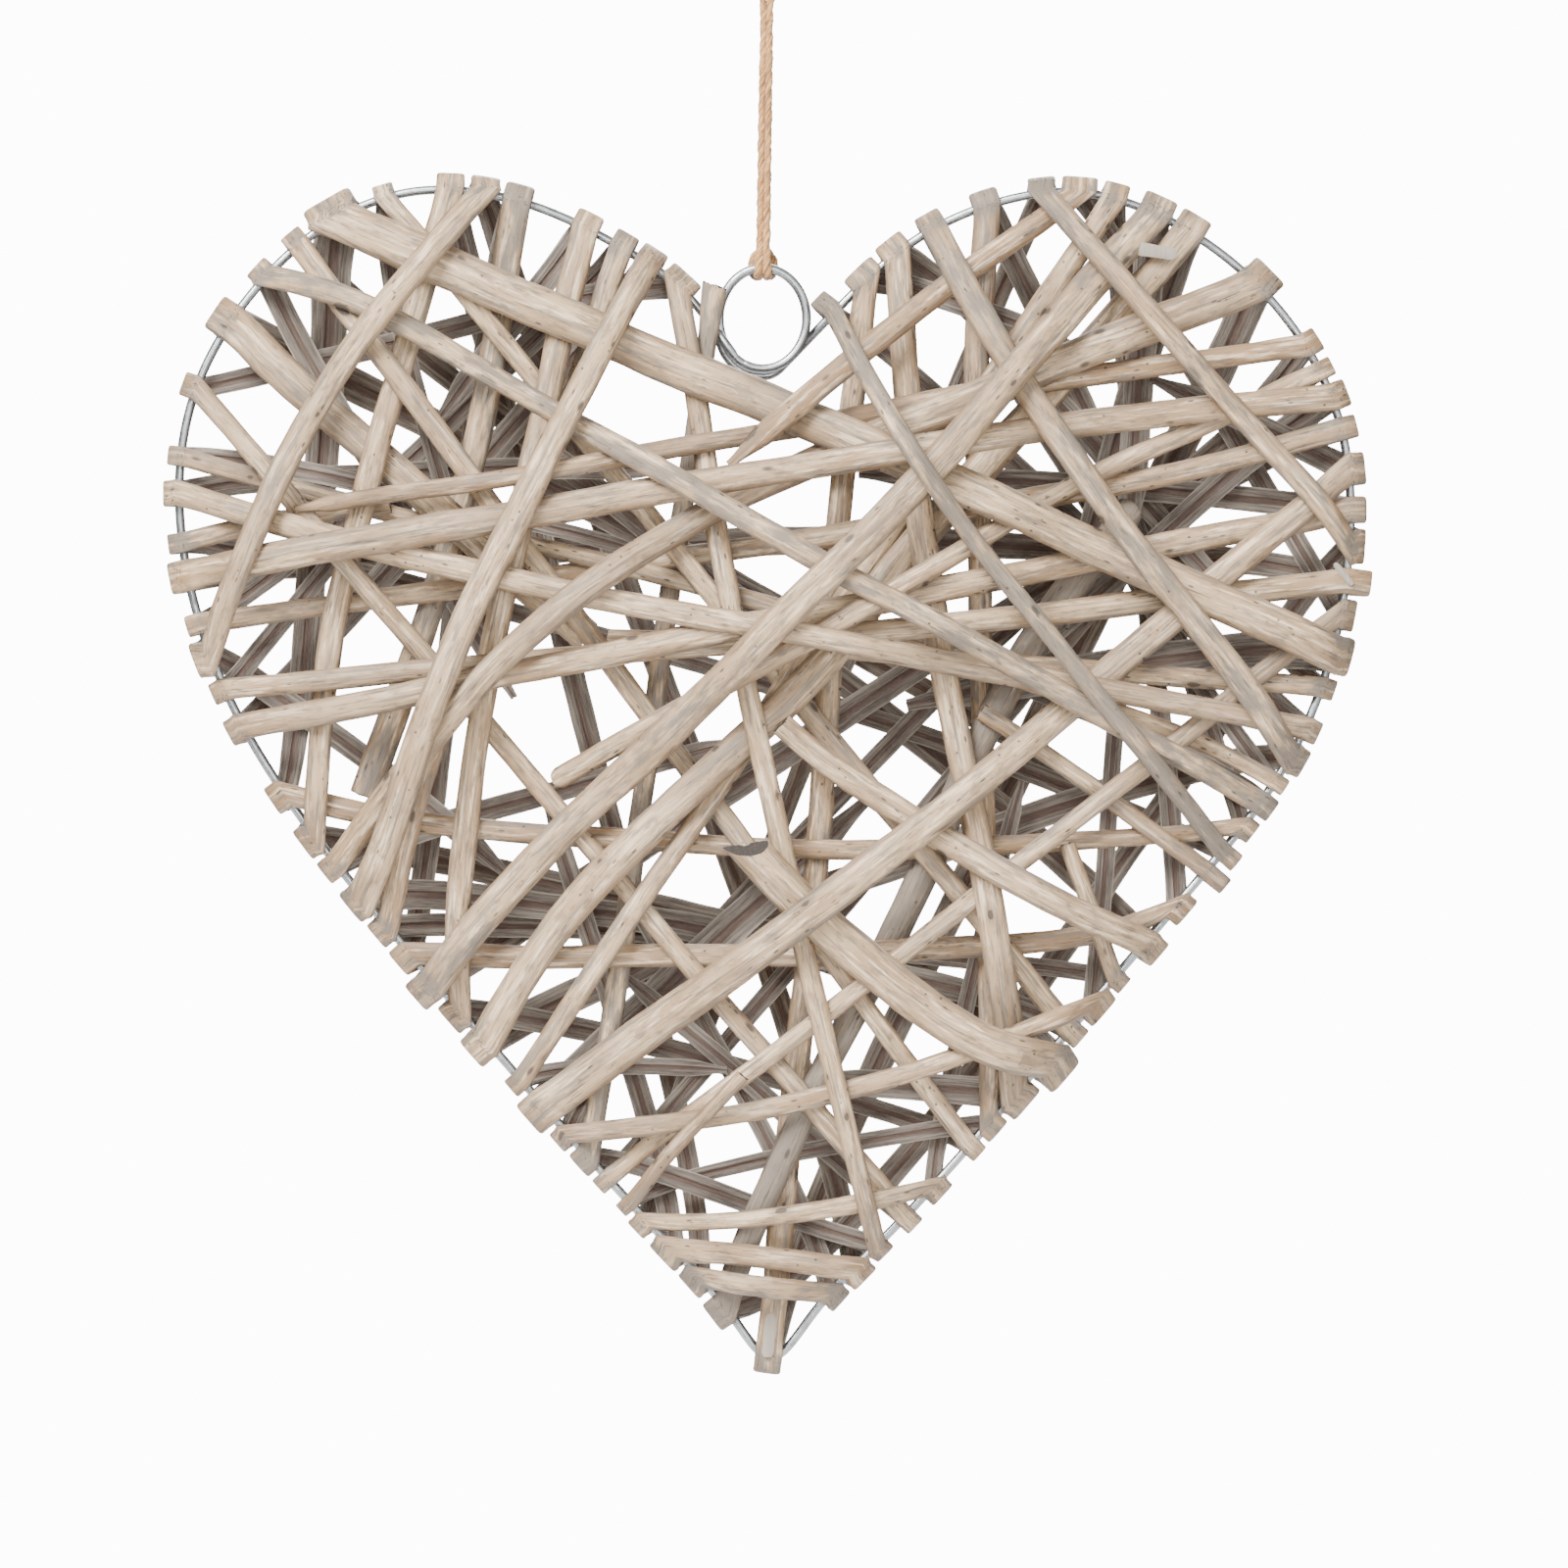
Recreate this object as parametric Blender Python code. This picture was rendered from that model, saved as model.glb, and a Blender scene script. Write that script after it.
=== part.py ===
"""Wicker heart: split willow rods wound over a bent steel wire, hung by a loop of jute twine.

Metres, +Z up, the front of the heart faces -Y. The origin is the inside of the top of the twine
loop, which is what the heart hangs by.
"""

import math
from collections import namedtuple

import bmesh
import bpy
import numpy as np

# Driving dimensions in metres
HEART_WIDTH = 0.400
HANG_LENGTH = 0.102
WIRE_DIAMETER = 0.003
ROD_WIDTH = 0.0085
ROD_THICKNESS = 0.0033
TWINE_DIAMETER = 0.0024
LOOP_WIDTH = 0.011
RING_TURNS = 2
CROWN_HEIGHT = 0.008

# Clearances in metres
LAID_GAP = 0.0005
WIRE_GAP = 0.0010
RIM_GAP = 0.0015
COIL_GAP = 0.0003
TWINE_GAP = 0.0003

# The face of the heart is laid out on a drawing of 1600 squares each way
DRAWING_HEART_WIDTH = 1229
DRAWING_ROD_WIDTH = 26
SQUARE = HEART_WIDTH / DRAWING_HEART_WIDTH
CENTRE_SQUARE = 783
RING_CENTRE = (778.5, 325.0)
RING_HALF_WIDTH = 44.5
RING_HALF_HEIGHT = 51.5
RING_JOIN_ANGLE = math.radians(38)
CLEFT_FLOOR = 400

# Shares and counts of the faceted form
TOP_SHARE = 0.54
LEAST_SINE = 0.55
SECTION_SPACING = 0.038
RIM_RUN = 0.009
SAMPLE_STEP = 0.0015
FOLD_FACET = math.radians(75)
TIP_SHARE = 0.42
SPRING_REACH = 0.025
SPRING_STEPS = 3000
STEEPEST = math.radians(55)
GENTLE_SLOPE = math.radians(22)
LOOSEN_STEP = 0.0004
LAYING_ROUNDS = 20
ROUGH_FORCE = 1e-7
HAIR = 1e-6
FOLD_MARGIN = 1.3
SIDE_MARGIN = 0.7
RIM_MARGIN = 0.25
TIP_NARROWING = 0.85
SHORTEST_BACK = HEART_WIDTH / 5
BACK_PULL = 0.45
LONGEST_ROD_SPANS = 3.125
SHALLOWEST_SINE = 0.45
SHALLOW_COST = 4.0
UNFIT_COST = 50.0
SPREADING_ROUNDS = 4000
CURVE_FINENESS = 20
RIM_POINTS = 900
RUN_POINTS = 120
CAP_SAMPLES = 12
WIRE_SPACING = 0.032
WIRE_TURN = math.radians(8)
RING_STEPS = 16
TWINE_POINTS = 72

FRONT, BACK = -1, 1
RIM, TIP = "rim", "tip"

# One run of a rod across the front. The rods are listed in the order they are laid, deepest first,
# and places and widths are in squares of the drawing.
Run = namedtuple("Run", "start end widths points")

FRONT_RUNS = (
    Run(RIM, RIM, (28, 20), ((1003, 197), (1003, 300), (997, 380), (1004, 760), (1020, 1145))),
    Run(RIM, RIM, (26, 28), ((878, 262), (856, 520), (835, 850), (800, 1200), (785, 1392))),
    Run(TIP, RIM, (34, 28), ((1158, 515), (1030, 700), (955, 860), (865, 1045), (757, 1278), (737, 1338))),
    Run(RIM, TIP, (30, 30), ((532, 190), (490, 430), (430, 650), (370, 812))),
    Run(TIP, RIM, (20, 23), ((729, 288), (687, 590), (630, 1000), (604, 1180))),
    Run(RIM, RIM, (24, 19), ((277, 820), (460, 843), (850, 865), (1050, 863), (1287, 858))),
    Run(RIM, RIM, (25, 22), ((420, 990), (650, 975), (1100, 955), (1215, 938))),
    Run(RIM, TIP, (21, 19), ((1353, 695), (1150, 688), (950, 672), (620, 650))),
    Run(RIM, RIM, (22, 24), ((192, 650), (480, 600), (1110, 500), (1376, 438))),
    Run(RIM, RIM, (20, 18), ((182, 466), (420, 530), (650, 583), (1190, 745), (1310, 792))),
    Run(RIM, TIP, (19, 19), ((1237, 893), (1110, 800), (1000, 725))),
    Run(RIM, TIP, (18, 18), ((1140, 1008), (1088, 860))),
    Run(RIM, TIP, (21, 21), ((182, 556), (260, 537), (400, 515))),
    Run(RIM, TIP, (25, 22), ((638, 243), (615, 310), (580, 420))),
    Run(RIM, TIP, (25, 22), ((392, 957), (430, 810), (450, 750))),
    Run(RIM, TIP, (38, 34), ((228, 322), (400, 478), (600, 651))),
    Run(RIM, RIM, (28, 25), ((462, 190), (395, 430), (340, 650), (313, 862))),
    Run(RIM, RIM, (22, 22), ((195, 392), (925, 1240))),
    Run(RIM, RIM, (24, 20), ((303, 250), (1003, 1160))),
    Run(RIM, RIM, (20, 24), ((393, 198), (1092, 1045))),
    Run(RIM, RIM, (25, 21), ((1132, 198), (527, 1118))),
    Run(RIM, RIM, (28, 26), ((603, 225), (555, 430), (505, 660), (468, 930), (457, 1035))),
    Run(RIM, RIM, (33, 36), ((1217, 217), (900, 600), (830, 690), (600, 910), (480, 1055))),
    Run(RIM, RIM, (19, 22), ((605, 1198), (1375, 628))),
    Run(RIM, RIM, (28, 32), ((903, 256), (937, 520), (978, 760), (1025, 1040), (1040, 1125))),
    Run(RIM, RIM, (21, 21), ((578, 1170), (850, 1115), (1122, 1038))),
    Run(RIM, RIM, (19, 19), ((648, 1256), (760, 1245), (958, 1218))),
    Run(RIM, TIP, (16, 16), ((640, 1232), (700, 1160), (760, 1095))),
    Run(RIM, RIM, (25, 25), ((678, 1282), (880, 1302))),
    Run(RIM, RIM, (22, 22), ((702, 1310), (870, 1327))),
    Run(RIM, RIM, (25, 20), ((692, 280), (738, 580), (808, 910), (898, 1287))),
    Run(RIM, RIM, (22, 26), ((220, 707), (620, 668), (880, 647), (1386, 596))),
    Run(RIM, RIM, (27, 27), ((240, 748), (1390, 528))),
    Run(RIM, TIP, (20, 24), ((1353, 376), (1100, 495), (960, 575), (565, 798))),
    Run(TIP, RIM, (18, 24), ((303, 521), (600, 476), (980, 405), (1342, 346))),
    Run(RIM, TIP, (30, 26), ((1178, 972), (1000, 880), (850, 785), (795, 740))),
    Run(TIP, RIM, (40, 43), ((762, 862), (850, 950), (1000, 1060), (1068, 1095))),
    Run(RIM, RIM, (28, 40), ((1380, 478), (1180, 645), (1050, 755), (870, 895), (543, 1135))),
    Run(RIM, RIM, (26, 24), ((176, 502), (430, 572), (780, 642), (1342, 747))),
    Run(RIM, RIM, (38, 26), ((1297, 275), (900, 445), (715, 530), (520, 668), (336, 885))),
    Run(RIM, RIM, (44, 40), ((340, 218), (700, 378), (960, 488), (1150, 575), (1390, 657))),
    Run(RIM, TIP, (24, 24), ((1098, 193), (900, 345), (745, 478))),
    Run(RIM, RIM, (33, 28), ((180, 592), (500, 533), (1000, 450), (1370, 402))),
    Run(RIM, RIM, (25, 25), ((258, 270), (350, 303), (560, 420), (1150, 745), (1292, 822))),
    Run(RIM, RIM, (28, 28), ((947, 222), (1080, 450), (1250, 680), (1325, 788))),
    Run(RIM, RIM, (34, 34), ((1190, 207), (950, 478), (740, 692), (520, 905), (438, 1005))),
    Run(RIM, RIM, (28, 33), ((670, 265), (548, 490), (470, 655), (395, 860), (368, 928))),
    Run(RIM, RIM, (24, 24), ((1072, 190), (1160, 310), (1340, 510), (1388, 575))),
    Run(RIM, RIM, (20, 20), ((850, 322), (940, 480), (1100, 690), (1252, 875))),
    Run(RIM, RIM, (27, 27), ((497, 178), (327, 414), (203, 662))),
)

# The centre of the wire, from the lower left of the ring round the point to its lower right
WIRE_SQUARES = (
    (700, 300), (650, 262), (550, 212), (460, 194), (400, 200), (325, 235), (245, 315), (193, 420),
    (187, 560), (240, 725), (350, 890), (495, 1060), (655, 1240), (745, 1340), (787, 1385),
    (830, 1340), (915, 1250), (1075, 1070), (1225, 895), (1335, 735), (1378, 530), (1352, 390),
    (1260, 270), (1145, 205), (1065, 197), (985, 218), (920, 255), (862, 308),
)

WIRE_RADIUS = WIRE_DIAMETER / 2
FOLD_RADIUS = WIRE_RADIUS + WIRE_GAP
RING_TOP_SQUARE = RING_CENTRE[1] - RING_HALF_HEIGHT
COIL_PITCH = WIRE_DIAMETER + COIL_GAP
COIL_ANGLE = 2 * math.pi * RING_TURNS + 2 * RING_JOIN_ANGLE
COIL_DEPTH = COIL_PITCH * COIL_ANGLE / (2 * math.pi)
COIL_BLEND = 6 * COIL_PITCH


def place(square):
    """The place in metres, across and up, of a place on the drawing."""
    across = (square[0] - CENTRE_SQUARE) * SQUARE
    up = (RING_TOP_SQUARE - square[1]) * SQUARE - HANG_LENGTH
    return np.array((across, up))


def smooth_curve(points, count):
    """Points evenly spaced along the natural cubic spline through the given points."""
    points = np.asarray(points, float)
    if len(points) == 2:
        share = np.linspace(0, 1, count)[:, None]
        return points[0] * (1 - share) + points[1] * share
    chord = np.linalg.norm(np.diff(points, axis=0), axis=1)
    knots = np.concatenate([[0], np.cumsum(np.sqrt(chord))])
    step = np.diff(knots)
    last = len(points) - 1
    system = np.eye(last + 1)
    wanted = np.zeros_like(points)
    for i in range(1, last):
        system[i, i - 1] = step[i - 1]
        system[i, i] = 2 * (step[i - 1] + step[i])
        system[i, i + 1] = step[i]
        rise = (points[i + 1] - points[i]) / step[i] - (points[i] - points[i - 1]) / step[i - 1]
        wanted[i] = 6 * rise
    bend = np.linalg.solve(system, wanted)
    at = np.linspace(0, knots[-1], CURVE_FINENESS * count)
    k = np.clip(np.searchsorted(knots, at, side="right") - 1, 0, last - 1)
    left = (at - knots[k])[:, None]
    right = (knots[k + 1] - at)[:, None]
    span = step[k][:, None]
    curve = (
        bend[k] * right**3 / (6 * span)
        + bend[k + 1] * left**3 / (6 * span)
        + (points[k] / span - bend[k] * span / 6) * right
        + (points[k + 1] / span - bend[k + 1] * span / 6) * left
    )
    return evenly(curve, count)


def lengths_along(curve):
    """The distance along a curve of each of its points."""
    return np.concatenate([[0], np.cumsum(np.linalg.norm(np.diff(curve, axis=0), axis=1))])


def points_at(curve, distances):
    """The points of a curve at the given distances along it."""
    along = lengths_along(curve)
    return np.stack([np.interp(distances, along, column) for column in curve.T], axis=1)


def evenly(curve, count):
    """The same curve with evenly spaced points."""
    return points_at(curve, np.linspace(0, lengths_along(curve)[-1], count))


def ring_point(angle):
    """A place on the centre of the ring's wire, the angle taken from its lowest point."""
    squares = (
        RING_CENTRE[0] + RING_HALF_WIDTH * math.sin(angle),
        RING_CENTRE[1] + RING_HALF_HEIGHT * math.cos(angle),
    )
    return place(squares)


class Rim:
    """The heart's outline along the wire's centre, between the two places where it joins the ring."""

    def __init__(self):
        inner = [place(square) for square in WIRE_SQUARES]
        route = [ring_point(-RING_JOIN_ANGLE), *inner, ring_point(RING_JOIN_ANGLE)]
        self.curve = smooth_curve(route, RIM_POINTS)
        self.along = lengths_along(self.curve)
        self.length = self.along[-1]

    def station(self, point):
        """The distance along the rim of its nearest place to a point."""
        return self.along[np.argmin(np.linalg.norm(self.curve - point, axis=1))]

    def point(self, station):
        """The place at a distance along the rim."""
        return points_at(self.curve, [station])[0]

    def tangent(self, station):
        """The direction of the rim at a distance along it."""
        step = points_at(self.curve, [station - 2 * WIRE_DIAMETER, station + 2 * WIRE_DIAMETER])
        return unit(step[1] - step[0])

    def outward(self, station):
        """The direction out of the heart at a distance along the rim."""
        tangent = self.tangent(station)
        return np.array((tangent[1], -tangent[0]))

    def bulge(self, station, half):
        """How far the wire stands outside the straight line of a fold half as long as given."""
        stations = station + np.linspace(-FOLD_MARGIN, FOLD_MARGIN, CAP_SAMPLES + 1) * half
        beside = points_at(self.curve, stations) - self.point(station)
        return max(0.0, float((beside @ self.outward(station)).max()))

    def depth(self, station):
        """How far the wire stands behind the middle plane: nothing, except beside the ring's coil."""
        from_left = min(1, station / COIL_BLEND)
        from_right = min(1, (self.length - station) / COIL_BLEND)
        left = (1 + math.cos(math.pi * from_left)) / 2
        right = (1 + math.cos(math.pi * from_right)) / 2
        return (right - left) * COIL_DEPTH / 2


def unit(vector):
    """The vector of length one in the same direction."""
    return vector / np.linalg.norm(vector)


class End:
    """One end of a run: a fold over the rim, or a free tip."""

    def __init__(self, kind, width, station=None, leaving=None):
        self.kind = kind
        self.width = width
        self.station = station
        self.leaving = leaving
        self.run = None
        self.partner = None

    def half_length(self, rim):
        """Half the length of the fold, along the wire."""
        sine = max(LEAST_SINE, abs(np.dot(self.leaving, rim.outward(self.station))))
        return self.width / 2 / sine


class Laid:
    """One run of a rod on one side of the heart, with its sections from end to end."""

    def __init__(self, side, curve, ends):
        self.side = side
        self.ends = ends
        self.samples = None
        self.force = None
        if curve is not None:
            self.follow(curve)

    def follow(self, curve):
        """Takes a curve as the run's centre."""
        self.curve = curve
        self.length = lengths_along(curve)[-1]

    def other(self, end):
        """The end that is not the given one."""
        return self.ends[0] if end is self.ends[1] else self.ends[1]

    def place_sections(self, rim):
        """Sets where the rod's sections stand and how wide they are."""
        run_in = []
        for end, leaving in zip(self.ends, self.leavings()):
            run = RIM_RUN
            if end.kind == RIM:
                run += end.half_length(rim) * abs(np.dot(leaving, rim.tangent(end.station)))
            run_in.append(run)
        middle = self.length - sum(run_in)
        count = max(1, round(middle / SECTION_SPACING))
        inner = run_in[0] + np.linspace(0, 1, count + 1) * middle
        self.distances = np.concatenate([[0], inner, [self.length]])
        self.points = points_at(self.curve, self.distances)
        share = self.distances / self.length
        self.widths = self.ends[0].width * (1 - share) + self.ends[1].width * share
        self.thicknesses = self.widths * ROD_THICKNESS / ROD_WIDTH
        before = points_at(self.curve, self.distances - WIRE_DIAMETER)
        after = points_at(self.curve, self.distances + WIRE_DIAMETER)
        along = (after - before) / np.linalg.norm(after - before, axis=1)[:, None]
        self.across = np.stack([along[:, 1], -along[:, 0]], axis=1) * self.widths[:, None] / 2
        for index, end in ((0, self.ends[0]), (-1, self.ends[1])):
            if end.kind == RIM:
                flat = rim.tangent(end.station) * end.fold_half
                self.across[index] = flat * np.sign(np.dot(flat, self.across[index]))

    def leavings(self):
        """The directions in which the run leaves the heart at its two ends."""
        step = points_at(self.curve, [0, RIM_RUN, self.length - RIM_RUN, self.length])
        return unit(step[0] - step[1]), unit(step[3] - step[2])

    def slope_at(self, index, rim):
        """How steeply the run rises out of a fold."""
        end = self.ends[index]
        neighbour = 1 if index == 0 else -2
        inward = abs(np.dot(self.points[neighbour] - rim.point(end.station), rim.outward(end.station)))
        return max(0.0, math.atan2(self.heights[neighbour] - self.heights[index], inward))

    def crown(self):
        """The least height of the springy rod over the middle plane, at each section."""
        share = self.distances / self.length
        rise = CROWN_HEIGHT * min(1, self.length / HEART_WIDTH)
        return FOLD_RADIUS + rise * 4 * share * (1 - share)

    def lay(self, others, wire_samples, rim):
        """Lays the run over the wire and the runs already laid on its side."""
        self.heights = self.crown()
        needs = self.needs([wire_samples] + [run.top_samples() for run in others])
        folds = [index for index, end in ((0, self.ends[0]), (-1, self.ends[1])) if end.kind == RIM]
        radius = {index: self.ends[index].radius[self.side] for index in folds}
        wire = {index: self.side * rim.depth(self.ends[index].station) for index in folds}
        for _ in range(LAYING_ROUNDS):
            for index in folds:
                self.heights[index] = radius[index] / math.cos(self.slope_at(index, rim)) + wire[index]
            self.rest_on(needs, folds)
            for index in folds:
                radius[index] += self.too_tight(index, needs, rim)
        for index in folds:
            slope = self.slope_at(index, rim)
            self.ends[index].slope[self.side] = slope
            self.ends[index].radius[self.side] = (self.heights[index] - wire[index]) * math.cos(slope)

    def too_tight(self, index, needs, rim):
        """How much further a fold has to stand off the wire for the run to rise out of it."""
        beside = needs[0] == (0 if index == 0 else len(self.points) - 2)
        short = self.shortfall(needs)[beside].max() if beside.any() else 0.0
        if self.slope_at(index, rim) > STEEPEST:
            short = max(short, LOOSEN_STEP)
        return max(short, LOOSEN_STEP) if short > HAIR else 0.0

    def shortfall(self, needs):
        """How far below each needed height the underside is."""
        interval, share, need = needs
        return need - self.heights[interval] * (1 - share) - self.heights[interval + 1] * share

    def rest_on(self, needs, folds):
        """Bends the run, as a springy rod, over what it has to clear between its folds."""
        interval, share, need = needs
        count = len(self.heights)
        free = np.setdiff1d(np.arange(count), np.array(folds, int) % count)
        held = np.setdiff1d(np.arange(count), free)
        crown = self.crown()
        rows = np.zeros((len(need), count))
        rows[np.arange(len(need)), interval] = 1 - share
        rows[np.arange(len(need)), interval + 1] = share
        within = self.distance_from_rim(share, interval) > WIRE_RADIUS
        rows, need = rows[within], need[within]
        spring = self.spring_matrix()
        pushed = self.heights[held] - crown[held]
        give = np.linalg.inv(spring[np.ix_(free, free)])
        lift = -give @ spring[np.ix_(free, held)] @ pushed
        short = need - rows @ crown - rows[:, held] @ pushed - rows[:, free] @ lift
        answer = give @ rows[:, free].T
        force = self.force if self.force is not None else np.zeros(len(need))
        lift = lift + answer @ force
        short = short - rows[:, free] @ (answer @ force)
        own = (rows[:, free].T * answer).sum(axis=0)
        for _ in range(SPRING_STEPS if len(need) else 0):
            change = np.maximum(short / own, -force)
            worst = int(np.argmax(np.abs(change * np.sqrt(own))))
            if abs(change[worst] * own[worst]) < ROUGH_FORCE:
                break
            force[worst] += change[worst]
            lift += answer[:, worst] * change[worst]
            short -= rows[:, free] @ answer[:, worst] * change[worst]
        self.heights[free] = crown[free] + lift
        self.force = force

    def spring_matrix(self):
        """How the rod resists a bend away from its crown, and a shift of all of it."""
        gaps = np.diff(self.distances)
        count = len(self.distances)
        bending = np.zeros((count - 2, count))
        for k in range(count - 2):
            span = math.sqrt((gaps[k] + gaps[k + 1]) / 2)
            bending[k, k] = 1 / gaps[k] / span
            bending[k, k + 2] = 1 / gaps[k + 1] / span
            bending[k, k + 1] = -bending[k, k] - bending[k, k + 2]
        about = (np.append(gaps, 0) + np.insert(gaps, 0, 0)) / 2
        return bending.T @ bending + np.diag(about) / SPRING_REACH**4

    def needs(self, others):
        """Where on this run, and how high, its underside has to stand to clear the others."""
        everything = np.concatenate(others)
        found = []
        for k in range(len(self.points) - 1):
            middle = (self.points[k] + self.points[k + 1]) / 2
            reach = np.linalg.norm(self.points[k + 1] - middle) + np.abs(self.across[k : k + 2]).max() * 2
            samples = everything[np.linalg.norm(everything[:, :2] - middle, axis=1) < reach]
            share, offset, half = self.local(samples[:, :2], k)
            room = self.distance_from_rim(share, k)
            margin = np.minimum(SIDE_MARGIN * SAMPLE_STEP, RIM_MARGIN * room)
            spare = SAMPLE_STEP / np.linalg.norm(self.points[k + 1] - self.points[k])
            first = -spare if k == 0 and self.ends[0].kind == TIP else 0
            last = 1 + spare if k == len(self.points) - 2 and self.ends[1].kind == TIP else 1
            hit = (share >= first) & (share <= last) & (np.abs(offset) <= half + margin)
            risen = self.risen_share(samples[hit, :2], k)
            rows = np.full(hit.sum(), k), risen, samples[hit, 2] + LAID_GAP
            found.append(np.stack(rows, axis=1))
        found = np.concatenate(found)
        return found[:, 0].astype(int), found[:, 1], found[:, 2]

    def distance_from_rim(self, share, k):
        """The distance along the run from its nearest fold, at shares of interval k."""
        at = self.distances[k] * (1 - share) + self.distances[k + 1] * share
        room = np.full(len(share), np.inf)
        if self.ends[0].kind == RIM:
            room = np.minimum(room, at)
        if self.ends[1].kind == RIM:
            room = np.minimum(room, self.length - at)
        return np.maximum(room, 0)

    def local(self, points, k):
        """Share along interval k, offset across it, and the half width there, of each point."""
        start, step = self.points[k], self.points[k + 1] - self.points[k]
        across, change = self.across[k], self.across[k + 1] - self.across[k]
        share = (points - start) @ step / (step @ step)
        for _ in range(3):
            inside = np.clip(share, -0.2, 1.2)
            section = across + inside[:, None] * change
            away = points - start - inside[:, None] * step
            wrong = away[:, 0] * section[:, 1] - away[:, 1] * section[:, 0]
            gain = step[0] * section[:, 1] - step[1] * section[:, 0]
            share = inside + wrong / gain
        section = across + np.clip(share, 0, 1)[:, None] * change
        half = np.linalg.norm(section, axis=1)
        away = points - start - share[:, None] * step
        return share, (away * section).sum(axis=1) / half, half

    def risen_share(self, points, k):
        """How far towards its height at the next section the underside's facet is, at each point."""
        near = self.points[k] - self.side * self.across[k]
        far = self.points[k + 1] + self.side * self.across[k + 1]
        low = self.points[k] + self.side * self.across[k]
        high = self.points[k + 1] - self.side * self.across[k + 1]
        diagonal = far - near
        beyond = flat_cross(diagonal, points - near) * flat_cross(diagonal, low - near) < 0
        on_low = flat_cross(low - near, points - near) / flat_cross(low - near, far - near)
        on_high = 1 - flat_cross(high - far, points - far) / flat_cross(high - far, near - far)
        return np.clip(np.where(beyond, on_high, on_low), 0, 1)

    def top_samples(self):
        """Points all over the upper surface: across, up, and height over the middle plane."""
        if self.samples is not None:
            return self.samples
        steep = self.steepness()
        rows = []
        for k in range(len(self.points) - 1):
            steps = max(2, math.ceil((self.distances[k + 1] - self.distances[k]) / SAMPLE_STEP))
            for share in np.linspace(0, 1, steps, endpoint=k == len(self.points) - 2):
                centre = self.points[k] * (1 - share) + self.points[k + 1] * share
                across = self.across[k] * (1 - share) + self.across[k + 1] * share
                low = self.heights[k] * (1 - share) + self.heights[k + 1] * share
                thick = self.thicknesses[k] * steep[k] * (1 - share)
                thick += self.thicknesses[k + 1] * steep[k + 1] * share
                cross = self.side * TOP_SHARE * (1 - 2 * share)
                for out, lift in ((-1, 0), (-TOP_SHARE, 1), (cross, 1), (TOP_SHARE, 1), (1, 0)):
                    rows.append((*(centre + out * across), low + lift * thick))
                for out in (-(1 + TOP_SHARE) / 2, (1 + TOP_SHARE) / 2):
                    rows.append((*(centre + out * across), low + thick / 2))
                if share in (0, 1):
                    for out in np.linspace(-TOP_SHARE, TOP_SHARE, CAP_SAMPLES):
                        rows.append((*(centre + out * across), low + thick))
        self.samples = np.array(rows)
        return self.samples

    def steepness(self):
        """How much taller than thick the sloping rod stands at each section."""
        slope = np.diff(self.heights) / np.diff(self.distances)
        mean = np.concatenate([[slope[0]], (slope[:-1] + slope[1:]) / 2, [slope[-1]]])
        for index, end in ((0, self.ends[0]), (-1, self.ends[1])):
            if end.kind == RIM:
                mean[index] = math.tan(end.slope[self.side])
        return np.sqrt(1 + mean**2)

    def sections(self, reverse):
        """The rod's sections, each as four corners, without those that a fold takes the place of."""
        steep = self.steepness()
        rings = []
        for k in range(len(self.points)):
            end = {0: self.ends[0], len(self.points) - 1: self.ends[1]}.get(k)
            if end is not None and end.kind == RIM and end.slope[self.side] < GENTLE_SLOPE:
                continue
            low = self.heights[k]
            high = low + self.thicknesses[k] * steep[k]
            side_step = self.across[k] * (-1 if reverse else 1) * self.side
            ring = []
            for out, height in ((-1, low), (1, low), (TOP_SHARE, high), (-TOP_SHARE, high)):
                spot = self.points[k] + out * side_step
                ring.append((spot[0], self.side * height, spot[1]))
            rings.append(ring)
        return rings[::-1] if reverse else rings


def flat_cross(a, b):
    """The cross product of flat vectors, one or both of them rows of vectors."""
    return a[..., 0] * b[..., 1] - a[..., 1] * b[..., 0]


def front_ends(run, rim):
    """The two ends of a front run of the drawing."""
    spots = [place(point) for point in run.points]
    scale = ROD_WIDTH / DRAWING_ROD_WIDTH
    ends = []
    for kind, width, near, inner in (
        (run.start, run.widths[0], spots[0], spots[1]),
        (run.end, run.widths[1], spots[-1], spots[-2]),
    ):
        end = End(kind, width * scale)
        if kind == RIM:
            end.station = rim.station(near)
            end.leaving = unit(near - inner)
        ends.append(end)
    return ends


def spread(ends, rim):
    """Shifts the folds along the wire until none is on another."""
    ends.sort(key=lambda end: end.station)
    station = np.array([end.station for end in ends])
    half = np.array([end.half_length(rim) for end in ends])
    room = half[:-1] + half[1:] + RIM_GAP
    for _ in range(SPREADING_ROUNDS):
        short = room - np.diff(station)
        if short.max() < HAIR:
            break
        push = np.maximum(short, 0) / 2
        station[:-1] -= push
        station[1:] += push
        station = np.clip(station, half[0], rim.length - half[-1])
    for end, at, flat in zip(ends, station, half):
        end.station = float(at)
        end.fold_half = flat
        end.slope = {FRONT: 0.0, BACK: 0.0}
        stand_off = rim.bulge(end.station, flat) / math.cos(FOLD_FACET / 2)
        end.radius = dict.fromkeys((FRONT, BACK), FOLD_RADIUS + stand_off)


def stays_inside(start, end):
    """Whether a straight run between two rim places passes below the cleft."""
    middle = place((CENTRE_SQUARE, CLEFT_FLOOR))
    if (start[0] - middle[0]) * (end[0] - middle[0]) >= 0:
        return True
    share = (middle[0] - start[0]) / (end[0] - start[0])
    return start[1] + share * (end[1] - start[1]) < middle[1]


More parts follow.
